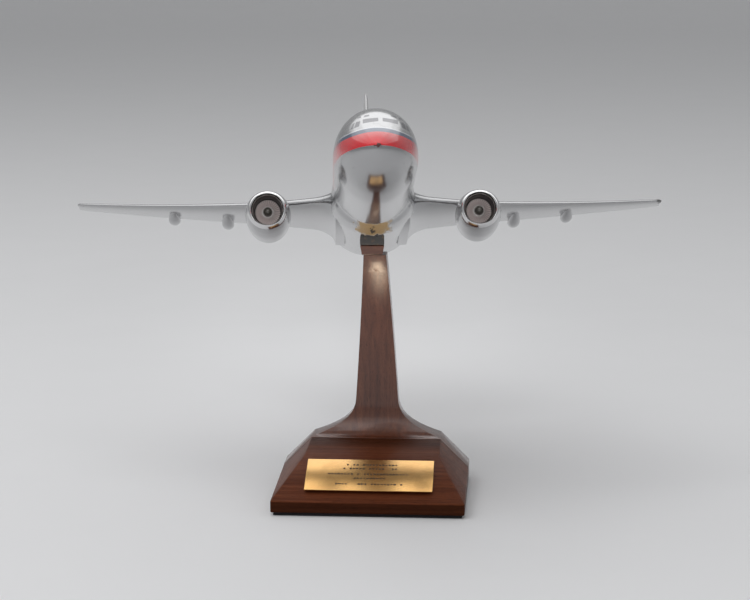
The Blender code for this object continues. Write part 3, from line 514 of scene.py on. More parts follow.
# ---- dowels, bushes, stud and washer -------------------------------------------------------
# What holds the stand and the swivel together: birch dowels across the glue joint, turned
# brass bushes, a drawn steel stud and a moulded nylon friction washer.
def birch():
    material, tree, shader = new_material("birch_dowel")
    place = in_millimetres(tree)
    fibre = noise(tree, stretched(tree, place, (1.0, 0.05, 1.0)), 2.5, 5.0, 0.6)
    plug(tree, shader, (), {"Base Color": blend_colour(tree, fibre, (0.50, 0.36, 0.21),
                                                       (0.70, 0.55, 0.36)),
                            "Roughness": 0.7, "Normal": bumped(tree, fibre, 0.00005, 0.4)})
    return material


def turned_metal(name, dark, light, low=0.18, high=0.38):
    """Bare metal with fine turning marks and a little dulling."""
    material, tree, shader = new_material(name)
    place = in_millimetres(tree)
    marks = noise(tree, stretched(tree, place, (0.2, 0.2, 6.0)), 1.5, 3.0)
    dull = noise(tree, place, 0.3, 4.0)
    plug(tree, shader, (), {"Base Color": blend_colour(tree, dull, dark, light),
                            "Metallic": 1.0, "Roughness": dull * (high - low) + low,
                            "Normal": bumped(tree, marks, 0.00002, 0.3)})
    return material


def moulded_nylon():
    material, tree, shader = new_material("nylon_washer")
    cloud = noise(tree, in_millimetres(tree), 0.8, 4.0)
    plug(tree, shader, (), {"Base Color": blend_colour(tree, cloud, (0.70, 0.69, 0.63),
                                                       (0.82, 0.81, 0.76)),
                            "Roughness": cloud * 0.15 + 0.4,
                            "Normal": bumped(tree, cloud, 0.00003, 0.3)})
    return material


steel = turned_metal("drawn_steel", (0.36, 0.37, 0.39), (0.52, 0.53, 0.55))
pin_brass = turned_metal("turned_brass", (0.66, 0.46, 0.20), (0.80, 0.60, 0.30))
birch_rod = birch()
for node in ("stem_dowel_left", "stem_dowel_right"):
    finish_node(node, birch_rod)
for node in ("stem_bush", "belly_bush"):
    finish_node(node, pin_brass)
finish_node("mount_stud", steel)
finish_node("friction_washer", moulded_nylon())


# ---- swivel block and collar ----------------------------------------------------------------
# The small walnut block that turns on the stem, lacquered thick and round-edged, and the
# dark plate above it that is screwed to the belly.
block_finish = walnut("walnut_block", "X", 2.6, 1.0)
swivel_block = tidy_copy("swivel_block", "swivel_block_rounded", block_finish, 0.0007, 4)
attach(swivel_block, "aircraft")
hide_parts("swivel_block")


def slate():
    """Dark painted plate: chalky on its sides, and worn brown in patches."""
    material, tree, shader = new_material("slate_plate")
    place = in_millimetres(tree)
    chalk = noise(tree, stretched(tree, place, (1.0, 1.0, 0.4)), 1.6, 6.0, 0.7)
    worn = noise(tree, place, 0.5, 3.0).step(0.56, 0.70)
    colour = blend_colour(tree, chalk, (0.030, 0.030, 0.031), (0.095, 0.090, 0.085))
    colour = blend_colour(tree, worn * 0.5, colour, (0.20, 0.13, 0.075))
    plug(tree, shader, (), {"Base Color": colour, "Metallic": 0.1,
                            "Roughness": chalk * 0.3 + 0.35,
                            "Normal": bumped(tree, chalk, 0.00005, 0.6)})
    return material


slate_finish = slate()
collar = tidy_copy("mount_collar", "collar_plate", slate_finish, 0.0003)
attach(collar, "aircraft")
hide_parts("mount_collar")


# ---- fuselage ------------------------------------------------------------------------------
# The body, carved from one block, filled, and sprayed aluminium. A red band with a thin blue
# line runs round the nose and along the sides; flight-deck and cabin windows are grey decals.
def between(keys, place):
    """Read listed key values at any place, on one smooth curve that never overshoots."""
    place = min(max(place, keys[0][0]), keys[-1][0])
    index = min(max(i for i, key in enumerate(keys) if key[0] <= place), len(keys) - 2)
    left, right = keys[index], keys[index + 1]
    before, after = keys[max(index - 1, 0)], keys[min(index + 2, len(keys) - 1)]
    width = right[0] - left[0]
    t = (place - left[0]) / width
    values = []
    for low, high, past, next_on in zip(left[1:], right[1:], before[1:], after[1:]):
        step = (high - low) / width
        back = step if before is left else (low - past) / (left[0] - before[0])
        on = step if after is right else (next_on - high) / (after[0] - right[0])
        enter = 2 * step * back / (step + back) if step * back > 0 else 0.0
        leave = 2 * step * on / (step + on) if step * on > 0 else 0.0
        values.append((2 * t**3 - 3 * t**2 + 1) * low + (t**3 - 2 * t**2 + t) * width * enter
                      + (3 * t**2 - 2 * t**3) * high + (t**3 - t**2) * width * leave)
    return values


SEAT_ABOVE_SWIVEL, SIDE_OFFSET = 0.0069, -0.0016
TURNED, NOSE_UP, BANK = math.radians(4.9), math.radians(17.1), math.radians(-0.26)
MOUNT_STATION, SEAT_LEVEL = 0.1481, -0.0219
swivel_point = Vector(frame["joints"][0]["pos_m"])
# aircraft's own frame: x to port, y aft from the nose tip, z up from its reference line
AIRFRAME = (Matrix.Translation(swivel_point + Vector((SIDE_OFFSET, 0, SEAT_ABOVE_SWIVEL)))
            @ Matrix.Rotation(TURNED, 4, "Z") @ Matrix.Rotation(-NOSE_UP, 4, "X")
            @ Matrix.Rotation(BANK, 4, "Y")
            @ Matrix.Translation((0, -MOUNT_STATION, -SEAT_LEVEL)))


def skin(name, rings, material, smooth_angle=50, closed=False):
    """Skin rings of points, given in millimetres in the aircraft's frame."""
    builder = bmesh.new()
    place = AIRFRAME @ Matrix.Scale(0.001, 4)
    rows = [[builder.verts.new(place @ Vector(point)) for point in ring] for ring in rings]
    pairs = list(zip(rows, rows[1:])) + ([(rows[-1], rows[0])] if closed else [])
    count = len(rings[0])
    for low, high in pairs:
        for i in range(count):
            j = (i + 1) % count
            builder.faces.new((low[i], low[j], high[j], high[i]))
    if not closed:
        for row in (rows[0], rows[-1]):
            middle = builder.verts.new(sum((v.co for v in row), Vector()) / count)
            for i in range(count):
                builder.faces.new((row[i], row[(i + 1) % count], middle))
    bmesh.ops.recalc_face_normals(builder, faces=builder.faces)
    return object_from(name, builder, material, smooth_angle)


def air_piece(piece, node):
    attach(piece, "aircraft")
    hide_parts(node)


def inside(x, z, corners):
    """1 within a four-cornered window drawn clockwise in x and z, with soft edges."""
    mask = None
    for (x1, z1), (x2, z2) in zip(corners, corners[1:] + corners[:1]):
        length = math.hypot(x2 - x1, z2 - z1)
        nx, nz = (z2 - z1) / length, -(x2 - x1) / length
        edge = (x * nx + z * nz - (x1 * nx + z1 * nz)).step(-0.12, 0.12)
        mask = edge if mask is None else mask * edge
    return mask


def aluminium_coat(tree, place):
    """Sprayed aluminium under clear lacquer: colour, roughness and relief."""
    flake = noise(tree, place, 7.0, 2.0, 0.6)
    cloud = noise(tree, place, 0.035, 4.0, 0.55)
    colour = blend_colour(tree, flake * 0.45 + cloud * 0.55, (0.385, 0.387, 0.395),
                          (0.455, 0.456, 0.462))
    hairline = (abs(noise(tree, stretched(tree, place, (1.0, 0.55, 1.0)), 0.055, 2.0) - 0.5)
                .step(0.0, 0.0016))
    where = noise(tree, place, 0.06, 1.0).step(0.60, 0.64)
    scratch = (1 - hairline) * where
    specks = noise(tree, place, 0.85, 1.0, 0.2).step(0.785, 0.80)
    colour = blend_colour(tree, scratch * 0.55 + specks * 0.6, colour, (0.055, 0.052, 0.050))
    peel = noise(tree, place, 0.55, 2.0)
    roughness = cloud * 0.10 + flake * 0.03 + 0.125 + scratch * 0.3
    return colour, roughness, peel * 0.8 + flake * 0.05 - scratch * 2.0


STRIPE_TOP, STRIPE_RISE, STRIPE_FADE = 0.9, 2.3, 12.0
STRIPE_HALF, STRIPE_SPREAD = 0.55, 0.95
BAND_LOW = -4.7
WINDOW_CENTRE = 1.5
FLIGHT_DECK = [
    [(0.9, 7.95), (0.9, 10.05), (7.4, 9.5), (7.4, 7.15)],
    [(9.0, 5.8), (8.3, 8.8), (10.15, 8.6), (11.15, 5.3)],
    [(11.4, 5.05), (10.6, 8.45), (11.6, 8.0), (12.6, 5.05)],
    [(4.5, 11.1), (4.7, 12.1), (6.5, 11.9), (7.0, 10.65)],
    [(8.0, 10.5), (8.0, 11.75), (8.9, 11.6), (9.7, 10.45)],
]
CABIN_FIRST, CABIN_LAST, CABIN_PITCH, CABIN_LEVEL = 46.0, 252.0, 5.08, 6.6
DOOR_STATIONS, DOOR_HALF_WIDTH = (38.5, 262.0), 4.2


def fuselage_paint():
    material, tree, shader = new_material("fuselage_paint")
    place = in_millimetres(tree, AIRFRAME)
    place_x, station, height = split(tree, place)
    colour, roughness, relief = aluminium_coat(tree, place)
    wander = noise(tree, place, 0.30, 3.0) * 0.5 - 0.25
    fade = 2.718 ** ((6.0 - station) / STRIPE_FADE)
    line = height - fade * STRIPE_RISE - STRIPE_TOP
    low = height + wander * 0.4 + (station.math("MINIMUM", 28.0)) * 0.024 - BAND_LOW
    band = low.step(-0.10, 0.10) * (1 - line.step(-0.35, -0.10))
    half = fade * STRIPE_SPREAD + STRIPE_HALF
    blue = (line + half).step(-0.08, 0.12) * (1 - (line - half).step(-0.12, 0.08))
    pale = (line - half).step(-0.12, 0.08) * (1 - (line - half).step(0.4, 0.8))
    # painted shade: a dark red spot is painted on the nose tip, where the reflection of the light ends
    painted_dark_tip = (noise(tree, place, 1.1, 3.0, 0.6) * 1.2 - abs(place_x - 0.3) * 0.22
                   - abs(height + 4.7) * 0.35 - station * 0.16).step(0.16, 0.24)

    across = abs(place_x - WINDOW_CENTRE)
    forward = 1 - station.step(29.0, 30.0)
    panes = None
    for corners in FLIGHT_DECK:
        pane = inside(across, height, corners)
        panes = pane if panes is None else panes.math("MAXIMUM", pane)
    panes = panes * forward
    # rows of cabin windows, one round-cornered decal at every frame pitch
    offset = ((station - CABIN_FIRST) / CABIN_PITCH).math("FRACT") - 0.5
    oval = ((offset * CABIN_PITCH / 1.15) ** 2.0 + ((height - CABIN_LEVEL) / 1.7) ** 2.0)
    row = station.step(CABIN_FIRST - 0.1, CABIN_FIRST) * (1 - station.step(
        CABIN_LAST, CABIN_LAST + 0.1)) * abs(place_x).step(9.0, 9.5)
    cabin = (1 - oval.step(0.86, 1.12)) * row
    doors = None
    for middle in DOOR_STATIONS:
        out = (abs(station - middle) - DOOR_HALF_WIDTH).math(
            "MAXIMUM", abs(height - 2.2) - 8.6)
        rim = (1 - abs(out).step(0.12, 0.26)) * abs(place_x).step(6.0, 6.5)
        doors = rim if doors is None else doors.math("MAXIMUM", rim)

    vivid = noise(tree, place, 0.12, 3.0)
    red = blend_colour(tree, vivid, (0.50, 0.0010, 0.006), (0.62, 0.002, 0.012))
    colour = blend_colour(tree, band, colour, red)
    colour = blend_colour(tree, blue, colour, (0.014, 0.036, 0.095))
    colour = blend_colour(tree, pale * 0.75, colour, (0.62, 0.63, 0.66))
    colour = blend_colour(tree, panes, colour, (0.165, 0.165, 0.175))
    colour = blend_colour(tree, cabin * 0.9, colour, (0.10, 0.10, 0.11))
    colour = blend_colour(tree, doors * 0.7, colour, (0.10, 0.10, 0.11))
    colour = blend_colour(tree, painted_dark_tip, colour, (0.055, 0.004, 0.004))
    pigment_and_painted_tip = (band.math("MAXIMUM", blue)).math("MAXIMUM", painted_dark_tip)
    decals = band * 0.5 + blue * 0.5 + panes * 0.4
    plug(tree, shader, (), {
        "Base Color": colour, "Metallic": (1 - pigment_and_painted_tip) * 0.90 - pale * 0.4,
        "Roughness": roughness + painted_dark_tip * 0.4 + pigment_and_painted_tip * 0.05,
        "IOR": 1.6, "Coat Weight": pigment_and_painted_tip * 0.4 + 0.25, "Coat Roughness": 0.06,
        "Coat IOR": 1.6, "Normal": bumped(tree, relief + decals, 0.00003, 0.22)})
    return material


# station from the nose, half width, top, bottom
BODY = [
    (0.0, 0.0, -4.5, -4.5), (1.5, 4.2, -0.9, -8.4), (4, 6.9, 1.3, -10.6),
    (10, 10.8, 5.2, -14.2), (16, 13.4, 9.2, -16.4), (24, 15.9, 14.19, -18.6),
    (34, 17.4, 17.39, -20.2), (50, 18.4, 19.09, -21.3), (120, 18.4, 19.1, -21.3),
    (200, 18.4, 19.1, -21.3), (230, 17.0, 18.8, -18.4), (260, 13.2, 17.8, -11.6),
    (290, 8.2, 16.0, -3.4), (312, 4.2, 13.9, 3.0), (321.8, 2.2, 12.4, 7.4),
]
BODY_SIDES = 96
NOSE_STEPS, NOSE_END, TAIL_ROUND = 26, 34.0, 2.0
ROUND_UNTIL, SET_BACK = 12.0, 0.08
# the nose is round where it starts, so its keys are read on the root of the station
NOSE = [(math.sqrt(key[0]), *key[1:]) for key in BODY if key[0] <= 120]


def body_section(station):
    share = min(max((station - ROUND_UNTIL) / (NOSE_END - ROUND_UNTIL), 0.0), 1.0)
    nose = between(NOSE, math.sqrt(min(station, NOSE_END)))
    return [a + (b - a) * share for a, b in zip(nose, between(BODY, station))]


def body_ring(station, shrink=1.0):
    half_width, top, bottom = body_section(station)
    middle, up = (top + bottom) / 2, (top - bottom) / 2
    station += SET_BACK * max(0.0, 1 - station / ROUND_UNTIL)
    return [(half_width * shrink * math.cos(math.tau * k / BODY_SIDES), station,
             middle + up * shrink * math.sin(math.tau * k / BODY_SIDES))
            for k in range(BODY_SIDES)]


stations = [NOSE_END * (step / NOSE_STEPS) ** 2 for step in range(1, NOSE_STEPS)]
stations = [0.012, 0.035] + stations
stations += [NOSE_END + 5.0 * step for step in range(int((BODY[-1][0] - 3 - NOSE_END) / 5.0) + 1)]
rings = [body_ring(station) for station in stations]
for turn in (0, 25, 50, 70, 82):
    back = BODY[-1][0] - TAIL_ROUND * (1 - math.sin(math.radians(turn)))
    rings.append(body_ring(back, math.cos(math.radians(turn)) ** 0.6))
fuselage = skin("fuselage_body", rings, fuselage_paint())
air_piece(fuselage, "fuselage")


# ---- belly ---------------------------------------------------------------------------------
# The block under the body that carries the wings and the mounting. It is faired into the
# body with filler, and its paint has chipped to the wood in front of the collar.
def bare_aluminium(name):
    material, tree, shader = new_material(name)
    place = in_millimetres(tree, AIRFRAME)
    colour, roughness, relief = aluminium_coat(tree, place)
    plug(tree, shader, (), {"Base Color": colour, "Metallic": 0.90, "Roughness": roughness,
                            "IOR": 1.6, "Coat Weight": 0.25, "Coat Roughness": 0.06,
                            "Normal": bumped(tree, relief, 0.00003, 0.22)})
    return material


CHIP_STATION, CHIP_HALF_LENGTH, CHIP_HALF_WIDTH = 119.5, 15.5, 8.6


def belly_paint():
    """The aluminium coat, broken in front of the collar down to tan wood and old glue."""
    material, tree, shader = new_material("belly_paint")
    place = in_millimetres(tree, AIRFRAME)
    colour, roughness, relief = aluminium_coat(tree, place)
    across, station, height = split(tree, place)
    ragged = noise(tree, stretched(tree, place, (1.0, 0.28, 1.0)), 0.42, 5.0, 0.65)
    along = (station - CHIP_STATION) / CHIP_HALF_LENGTH
    side = across / CHIP_HALF_WIDTH
    under = 1 - height.step(-18.0, -17.0)
    reach = (along ** 4.0 + side ** 4.0) ** 0.25 + (ragged - 0.5) * 1.3
    bare = (1 - reach.step(0.86, 0.94)) * under
    rim = (reach.step(0.66, 0.84)) * bare
    grain = noise(tree, stretched(tree, place, (3.0, 0.5, 1.0)), 1.2, 5.0, 0.7)
    tan = blend_colour(tree, grain, (0.34, 0.20, 0.075), (0.62, 0.43, 0.20))
    tan = blend_colour(tree, rim * 0.7, tan, (0.60, 0.55, 0.46))
    mark = noise(tree, stretched(tree, place, (1.0, 0.25, 1.0)), 0.75, 4.0, 0.6)
    dark = (mark * 1.5 - abs(across + 0.4) * 0.22 - abs(station - CHIP_STATION - 2.0) * 0.035
            ).step(0.40, 0.52)
    tan = blend_colour(tree, dark, tan, (0.030, 0.020, 0.010))
    plug(tree, shader, (), {
        "Base Color": blend_colour(tree, bare, colour, tan),
        "Metallic": (1 - bare) * 0.90, "Roughness": roughness + bare * 0.4,
        "IOR": 1.6, "Coat Weight": (1 - bare) * 0.25, "Coat Roughness": 0.06,
        "Normal": bumped(tree, relief - bare * 4.0 + grain * bare * 1.5, 0.00004, 0.4)})
    return material


# station from the nose, half width, top, bottom
BELLY = [
    (106, 12.0, 2.0, -18.6), (118, 18.4, 6.0, -21.9), (134, 19.9, 6.7, -22.7),
    (170, 19.9, 6.7, -22.7), (204, 19.6, 6.5, -22.6), (220, 17.0, 4.0, -19.5),
    (232, 12.0, 1.0, -15.0),
]
FAIRED, HIDDEN = 1.1, 0.05


def reach_of(half_width, top, bottom, middle, turn):
    """How far an oval reaches from a point on its upright axis in one direction."""
    centre, up = (top + bottom) / 2, (top - bottom) / 2
    dx, dz, start = math.cos(turn), math.sin(turn), middle - centre
    a = (dx / half_width) ** 2 + (dz / up) ** 2
    b = 2 * start * dz / up**2
    c = (start / up) ** 2 - 1
    root = b * b - 4 * a * c
    return (-b + math.sqrt(root)) / (2 * a) if root > 0 and c < 0 else 0.0


def belly_ring(station):
    """The body's own section, swollen smoothly to the belly block where that stands out."""
    half_width, top, bottom = body_section(station)
    block = between(BELLY, station)
    middle = (top + bottom) / 2 - 4.0
    ring = []
    for k in range(BODY_SIDES):
        turn = math.tau * k / BODY_SIDES
        body = reach_of(half_width, top, bottom, middle, turn)
        out = reach_of(*block, middle, turn) - body
        swell = FAIRED * math.log1p(math.exp(min(out / FAIRED, 20.0)))
        fade = min(1.0, (station - BELLY[0][0]) / 8.0, (BELLY[-1][0] - station) / 8.0)
        reach = body + swell * max(fade, 0.0) - HIDDEN
        ring.append((reach * math.cos(turn), station, middle + reach * math.sin(turn)))
    return ring


belly_steps = 84
belly_length = BELLY[-1][0] - BELLY[0][0]
belly = skin("belly_fairing", [belly_ring(BELLY[0][0] + belly_length * i / belly_steps)
                               for i in range(belly_steps + 1)], belly_paint())
air_piece(belly, "wing_body_fairing")


# ---- wings ---------------------------------------------------------------------------------
# Tapered, swept and cranked at the engines; carved thin, faired into the body with a round
# fillet, with rubbed edges and a dark worn patch at the left tip.
WING_ROOT = (18.8, 127.0, 57.0, 0.135)          # lateral place, leading edge, chord, thickness
WING_KINK = (49.0, 143.7, 39.5, 0.12)
WING_TIP = (144.4, 194.2, 15.6, 0.12)
WING_LEVEL, DIHEDRAL, FLEX = -12.2, math.radians(5.2), 3.0
INCIDENCE, WASHOUT, CAMBER, EDGE = math.radians(1.5), math.radians(5.0), 0.015, 0.4
SECTION_STEPS = 26


def aerofoil(x, lead, chord, level, thickness, camber=0.0, incidence=0.0, over=0.0, under=0.0):
    """A section standing across x, from the trailing edge over the top and back below."""
    shares = [0.5 - 0.5 * math.cos(math.pi * i / SECTION_STEPS) for i in range(SECTION_STEPS + 1)]
    ring = []
    for side, grow, order in ((1, over, shares[::-1]), (-1, under, shares[1:])):
        for f in order:
            half = 5 * thickness * chord * (0.2969 * math.sqrt(f) - 0.126 * f - 0.3516 * f**2
                                            + 0.2843 * f**3 - 0.1036 * f**4)
            start = f * 1.6 + 0.02
            swell = math.sin(math.pi * start) ** 0.5 if start < 0.5 else 1.0
            half += f * EDGE / 2 + grow * swell
            mean = 4 * camber * chord * f * (1 - f)
            ring.append((x, lead + f * chord,
                         level + mean + side * half - (f - 0.25) * chord * math.tan(incidence)))
    return ring


def wing_station(x):
    low, high = (WING_ROOT, WING_KINK) if x <= WING_KINK[0] else (WING_KINK, WING_TIP)
    share = (x - low[0]) / (high[0] - low[0])
    lead, chord, thickness = (a + (b - a) * share for a, b in zip(low[1:], high[1:]))
    out = (x - WING_ROOT[0]) / (WING_TIP[0] - WING_ROOT[0])
    incidence = INCIDENCE + WASHOUT * (1 - max(out, 0.0))
    twist = math.tan(incidence) - math.tan(INCIDENCE)
    level = (WING_LEVEL + (x - WING_ROOT[0]) * math.tan(DIHEDRAL) + FLEX * out * abs(out)
             + 0.75 * chord * twist)
    return lead, chord, level, thickness, incidence


TIP_ROUND = 2.4
FILLET, FILLET_OVER, FILLET_UNDER, FILLET_AHEAD, FILLET_BEHIND = 11.0, 3.0, 5.0, 5.0, 5.0


def wing_ring(side, x):
    lead, chord, level, thickness, incidence = wing_station(x)
    near = max(0.0, 1 - max(x - WING_ROOT[0] + 1.5, 0.0) / FILLET)
    round_in = 1 - math.sqrt(max(0.0, 1 - near**2))
    lead -= FILLET_AHEAD * round_in
    chord += (FILLET_AHEAD + FILLET_BEHIND) * round_in
    tip = max(0.0, (x - WING_TIP[0] + TIP_ROUND) / TIP_ROUND)
    squeeze = math.sqrt(max(0.0, 1 - tip**2))
    lead += TIP_ROUND * (1 - squeeze) * 1.3
    chord -= (TIP_ROUND * 1.3 + 1.2) * (1 - squeeze)
    return aerofoil(side * x, lead, chord, level, thickness * max(squeeze, 0.16), CAMBER,
                    incidence, FILLET_OVER * round_in, FILLET_UNDER * round_in)


def wing_paint():
    material, tree, shader = new_material("wing_paint")
    place = in_millimetres(tree, AIRFRAME)
    across, station, height = split(tree, place)
    colour, roughness, relief = aluminium_coat(tree, place)
    ragged = noise(tree, place, 0.5, 5.0, 0.65)
    worn = (across + ragged * 5.0 - (station - 194.0) * 0.35).step(143.6, 145.2)
    rub = (ragged + (abs(across) - 120.0) * 0.002).step(0.70, 0.76)
    colour = blend_colour(tree, worn * 0.85, colour, (0.030, 0.028, 0.027))
    colour = blend_colour(tree, rub * 0.25, colour, (0.16, 0.15, 0.14))
    plug(tree, shader, (), {"Base Color": colour, "Metallic": 0.90 - worn * 0.7,
                            "Roughness": roughness + worn * 0.35 + rub * 0.08, "IOR": 1.6,
                            "Coat Weight": 0.25, "Coat Roughness": 0.06,
                            "Normal": bumped(tree, relief - worn * 2.0, 0.00003, 0.22)})
    return material


wing_finish = wing_paint()
SIDES = (("left", 1), ("right", -1))
wing_places = [13.0, 15.0, 17.3] + [17.3 + 0.75 * step for step in range(1, 14)]
wing_places += [28.0 + 3.0 * step for step in range(1, 7)] + [WING_KINK[0] - 1.0, WING_KINK[0] + 1.0]
wing_places += [52.0 + 5.0 * step for step in range(0, 18)] + [140.0]
wing_places += [WING_TIP[0] - TIP_ROUND * (1 - math.sin(math.radians(turn)))
                for turn in (0, 20, 40, 55, 68, 78, 86, 90)]
for hand, side in SIDES:
    wing = skin("wing_panel_" + hand, [wing_ring(side, x) for x in wing_places], wing_finish)
    air_piece(wing, "wing_" + hand)
    finish_node("wing_pin_" + hand, steel)


# ---- flap-track fairings -------------------------------------------------------------------
# Small canoe-shaped blocks glued under the trailing edge, two to a wing.
# place, lateral place, half width, depth, length ahead of and behind the wing's edge
CANOES = [("inner", 69.5, 3.0, 4.7, 22.0, 7.0), ("outer", 96.0, 2.9, 4.4, 20.0, 6.0)]
CANOE_STEPS, CANOE_SIDES = 26, 28
canoe_finish = bare_aluminium("canoe_paint")
for hand, side in SIDES:
    for place, lateral, half, depth, ahead, behind in CANOES:
        lead, chord, level, _, incidence = wing_station(lateral)
        rings = []
        for step in range(CANOE_STEPS + 1):
            share = 0.5 - 0.5 * math.cos(math.pi * step / CANOE_STEPS)
            along = -ahead + (ahead + behind) * share
            fat = max(max(math.sin(math.pi * share), 0.0) ** 0.85, 0.03)
            centre = (level - (0.75 * chord + along) * math.tan(incidence) - 0.2
                      - depth * 0.5 * fat)
            rings.append([(side * lateral + half * fat * math.cos(math.tau * k / CANOE_SIDES),
                           lead + chord + along,
                           centre + depth * 0.55 * fat * math.sin(math.tau * k / CANOE_SIDES))
                          for k in range(CANOE_SIDES)])
        canoe = skin("flap_canoe_%s_%s" % (place, hand), rings, canoe_finish)
        air_piece(canoe, "flap_track_%s_%s" % (place, hand))


# ---- tail ------------------------------------------------------------------------------------
# A swept fin in blue-grey with darker blue borders and a pale leading edge, partly rubbed paint and
# partly a painted highlight, and two plain aluminium tailplane halves, all pinned to the body.
# lateral place, leading edge, chord
TAIL_ROOT, TAIL_TIP = (5.0, 284.0, 38.0), (63.5, 321.0, 13.0)
TAIL_LEVEL, TAIL_DIHEDRAL, TAIL_THICKNESS = 9.5, math.radians(7.0), 0.10
TAIL_TIP_ROUND = 1.8
# height, leading edge, trailing edge, half thickness
FIN = [(6, 212, 316, 1.2), (17, 220, 314.5, 1.4), (22, 241, 315.2, 1.7), (30, 258, 316.6, 1.75),
       (45, 271.5, 319.5, 1.6), (62, 286.5, 322.8, 1.35), (76, 299, 325.4, 1.1),
       (79, 303, 325.6, 0.7)]


def tail_ring(side, x):
    share = (x - TAIL_ROOT[0]) / (TAIL_TIP[0] - TAIL_ROOT[0])
    lead, chord = (a + (b - a) * share for a, b in zip(TAIL_ROOT[1:], TAIL_TIP[1:]))
    tip = max(0.0, (x - TAIL_TIP[0] + TAIL_TIP_ROUND) / TAIL_TIP_ROUND)
    squeeze = math.sqrt(max(0.0, 1 - tip**2))
    return aerofoil(side * x, lead + 2.4 * (1 - squeeze), chord - 3.6 * (1 - squeeze),
                    TAIL_LEVEL + (x - TAIL_ROOT[0]) * math.tan(TAIL_DIHEDRAL),
                    TAIL_THICKNESS * max(squeeze, 0.16))


def fin_ring(height):
    lead, trail, half = between(FIN, height)
    shares = [0.5 - 0.5 * math.cos(math.pi * i / SECTION_STEPS) for i in range(SECTION_STEPS + 1)]
    ring = []
    for side, order in ((1, shares[::-1]), (-1, shares[1:])):
        for f in order:
            wide = half * min(2.6 * math.sqrt(f) * (1 - f) + 0.35 * f * (1 - f), 1.0)
            ring.append((side * (wide + f * EDGE / 2), lead + f * (trail - lead), height))
    return ring


def fin_paint():
    material, tree, shader = new_material("fin_paint")
    place = in_millimetres(tree, AIRFRAME)
    across, station, height = split(tree, place)
    colour, roughness, relief = aluminium_coat(tree, place)
    lead = height * 0.8764 + 232.2
    behind = station - lead.math("MAXIMUM", (height - 17.0) * 4.2 + 220.0)
    ragged = noise(tree, place, 0.5, 4.0, 0.6)
    blue_grey = blend_colour(tree, ragged, (0.115, 0.145, 0.215), (0.165, 0.195, 0.270))
    border = (1 - behind.step(3.4, 3.8)).math("MAXIMUM", height.step(73.6, 74.0))
    # painted highlight: the leading edge is painted pale for the light caught along it, as well as for
    # rubbed paint
    rubbed_edge_and_highlight = 1 - (behind + ragged * 0.5).step(1.0, 1.5)
    paint = blend_colour(tree, border, blue_grey, (0.022, 0.040, 0.090))
    paint = blend_colour(tree, rubbed_edge_and_highlight, paint, (0.60, 0.60, 0.60))
    plug(tree, shader, (), {"Base Color": paint, "Metallic": 0.15,
                            "Roughness": roughness + 0.10, "Coat Weight": 0.7,
                            "Coat Roughness": 0.08,
                            "Normal": bumped(tree, relief, 0.00003, 0.22)})
    return material


fin_heights = [10.0, 14.0, 17.0] + [18.0 + step for step in range(14)] + [
    32.0 + 4.0 * step for step in range(11)] + [74.5, 76.0, 77.2, 78.1, 78.7, 79.0]
fin = skin("tail_fin", [fin_ring(height) for height in fin_heights], fin_paint())
air_piece(fin, "fin")
tail_places = [2.2, 5.0] + [5.0 + 5.0 * step for step in range(1, 12)]
tail_places += [TAIL_TIP[0] - TAIL_TIP_ROUND * (1 - math.sin(math.radians(turn)))
                for turn in (0, 25, 50, 70, 82, 90)]
tail_finish = bare_aluminium("tailplane_paint")
for hand, side in SIDES:
    half = skin("tailplane_half_" + hand, [tail_ring(side, x) for x in tail_places], tail_finish)
    air_piece(half, "tailplane_" + hand)
    finish_node("tailplane_pin_" + hand, pin_brass)
for place in ("front", "rear"):
    finish_node("fin_pin_" + place, pin_brass)


# ---- engines ---------------------------------------------------------------------------------
# Turned wooden cowls in aluminium with polished lips; in each, a black duct, a fan of many
# thin blades round a grey spinner, and the core nozzle and its cone behind.
ENGINE_X, INLET = 48.3, 104.3
# distance behind the inlet plane, half width, height above and below, centre level
COWL = [(0.0, 8.35, 7.75, 7.45, -14.8), (1.0, 8.9, 8.4, 8.2, -14.8), (2.6, 9.3, 8.9, 8.9, -14.8),
        (8, 10.1, 9.6, 10.1, -15.0), (16, 10.45, 10.0, 11.0, -15.3),
        (24, 10.1, 9.6, 11.1, -15.6), (35, 7.8, 7.2, 8.6, -16.2)]
COWL_SIDES = 72
LIP_LENGTH, LIP_GAP = 2.6, 0.12
DUCT_RADIUS, THROAT_RADIUS, DUCT_DEPTH = 6.1, 6.8, 10.8
DUCT_LEVEL = COWL[0][4]
TAILPIPE_RADIUS, TAILPIPE_DEPTH = 6.2, 4.0
COWL_LENGTH = COWL[-1][0]


def engine_ring(side, behind, across, above, below, level):
    ring = []
    for k in range(COWL_SIDES):
        turn = math.tau * k / COWL_SIDES
        up = above if math.sin(turn) >= 0 else below
        ring.append((side * ENGINE_X + across * math.cos(turn), INLET + behind,
                     level + up * math.sin(turn)))
    return ring


def cowl_ring(side, behind):
    return engine_ring(side, behind, *between(COWL, behind))


def round_ring(side, behind, radius, level=DUCT_LEVEL):
    return engine_ring(side, behind, radius, radius, radius, level)


def polished_lip():
    material, tree, shader = new_material("polished_lip")
    place = in_millimetres(tree, AIRFRAME)
    hairs = noise(tree, place, 2.2, 4.0, 0.6)
    colour = blend_colour(tree, hairs, (0.62, 0.62, 0.63), (0.78, 0.78, 0.78))
    plug(tree, shader, (), {"Base Color": colour, "Metallic": 1.0,
                            "Roughness": hairs * 0.10 + 0.10,
                            "Normal": bumped(tree, hairs, 0.00002, 0.2)})
    return material


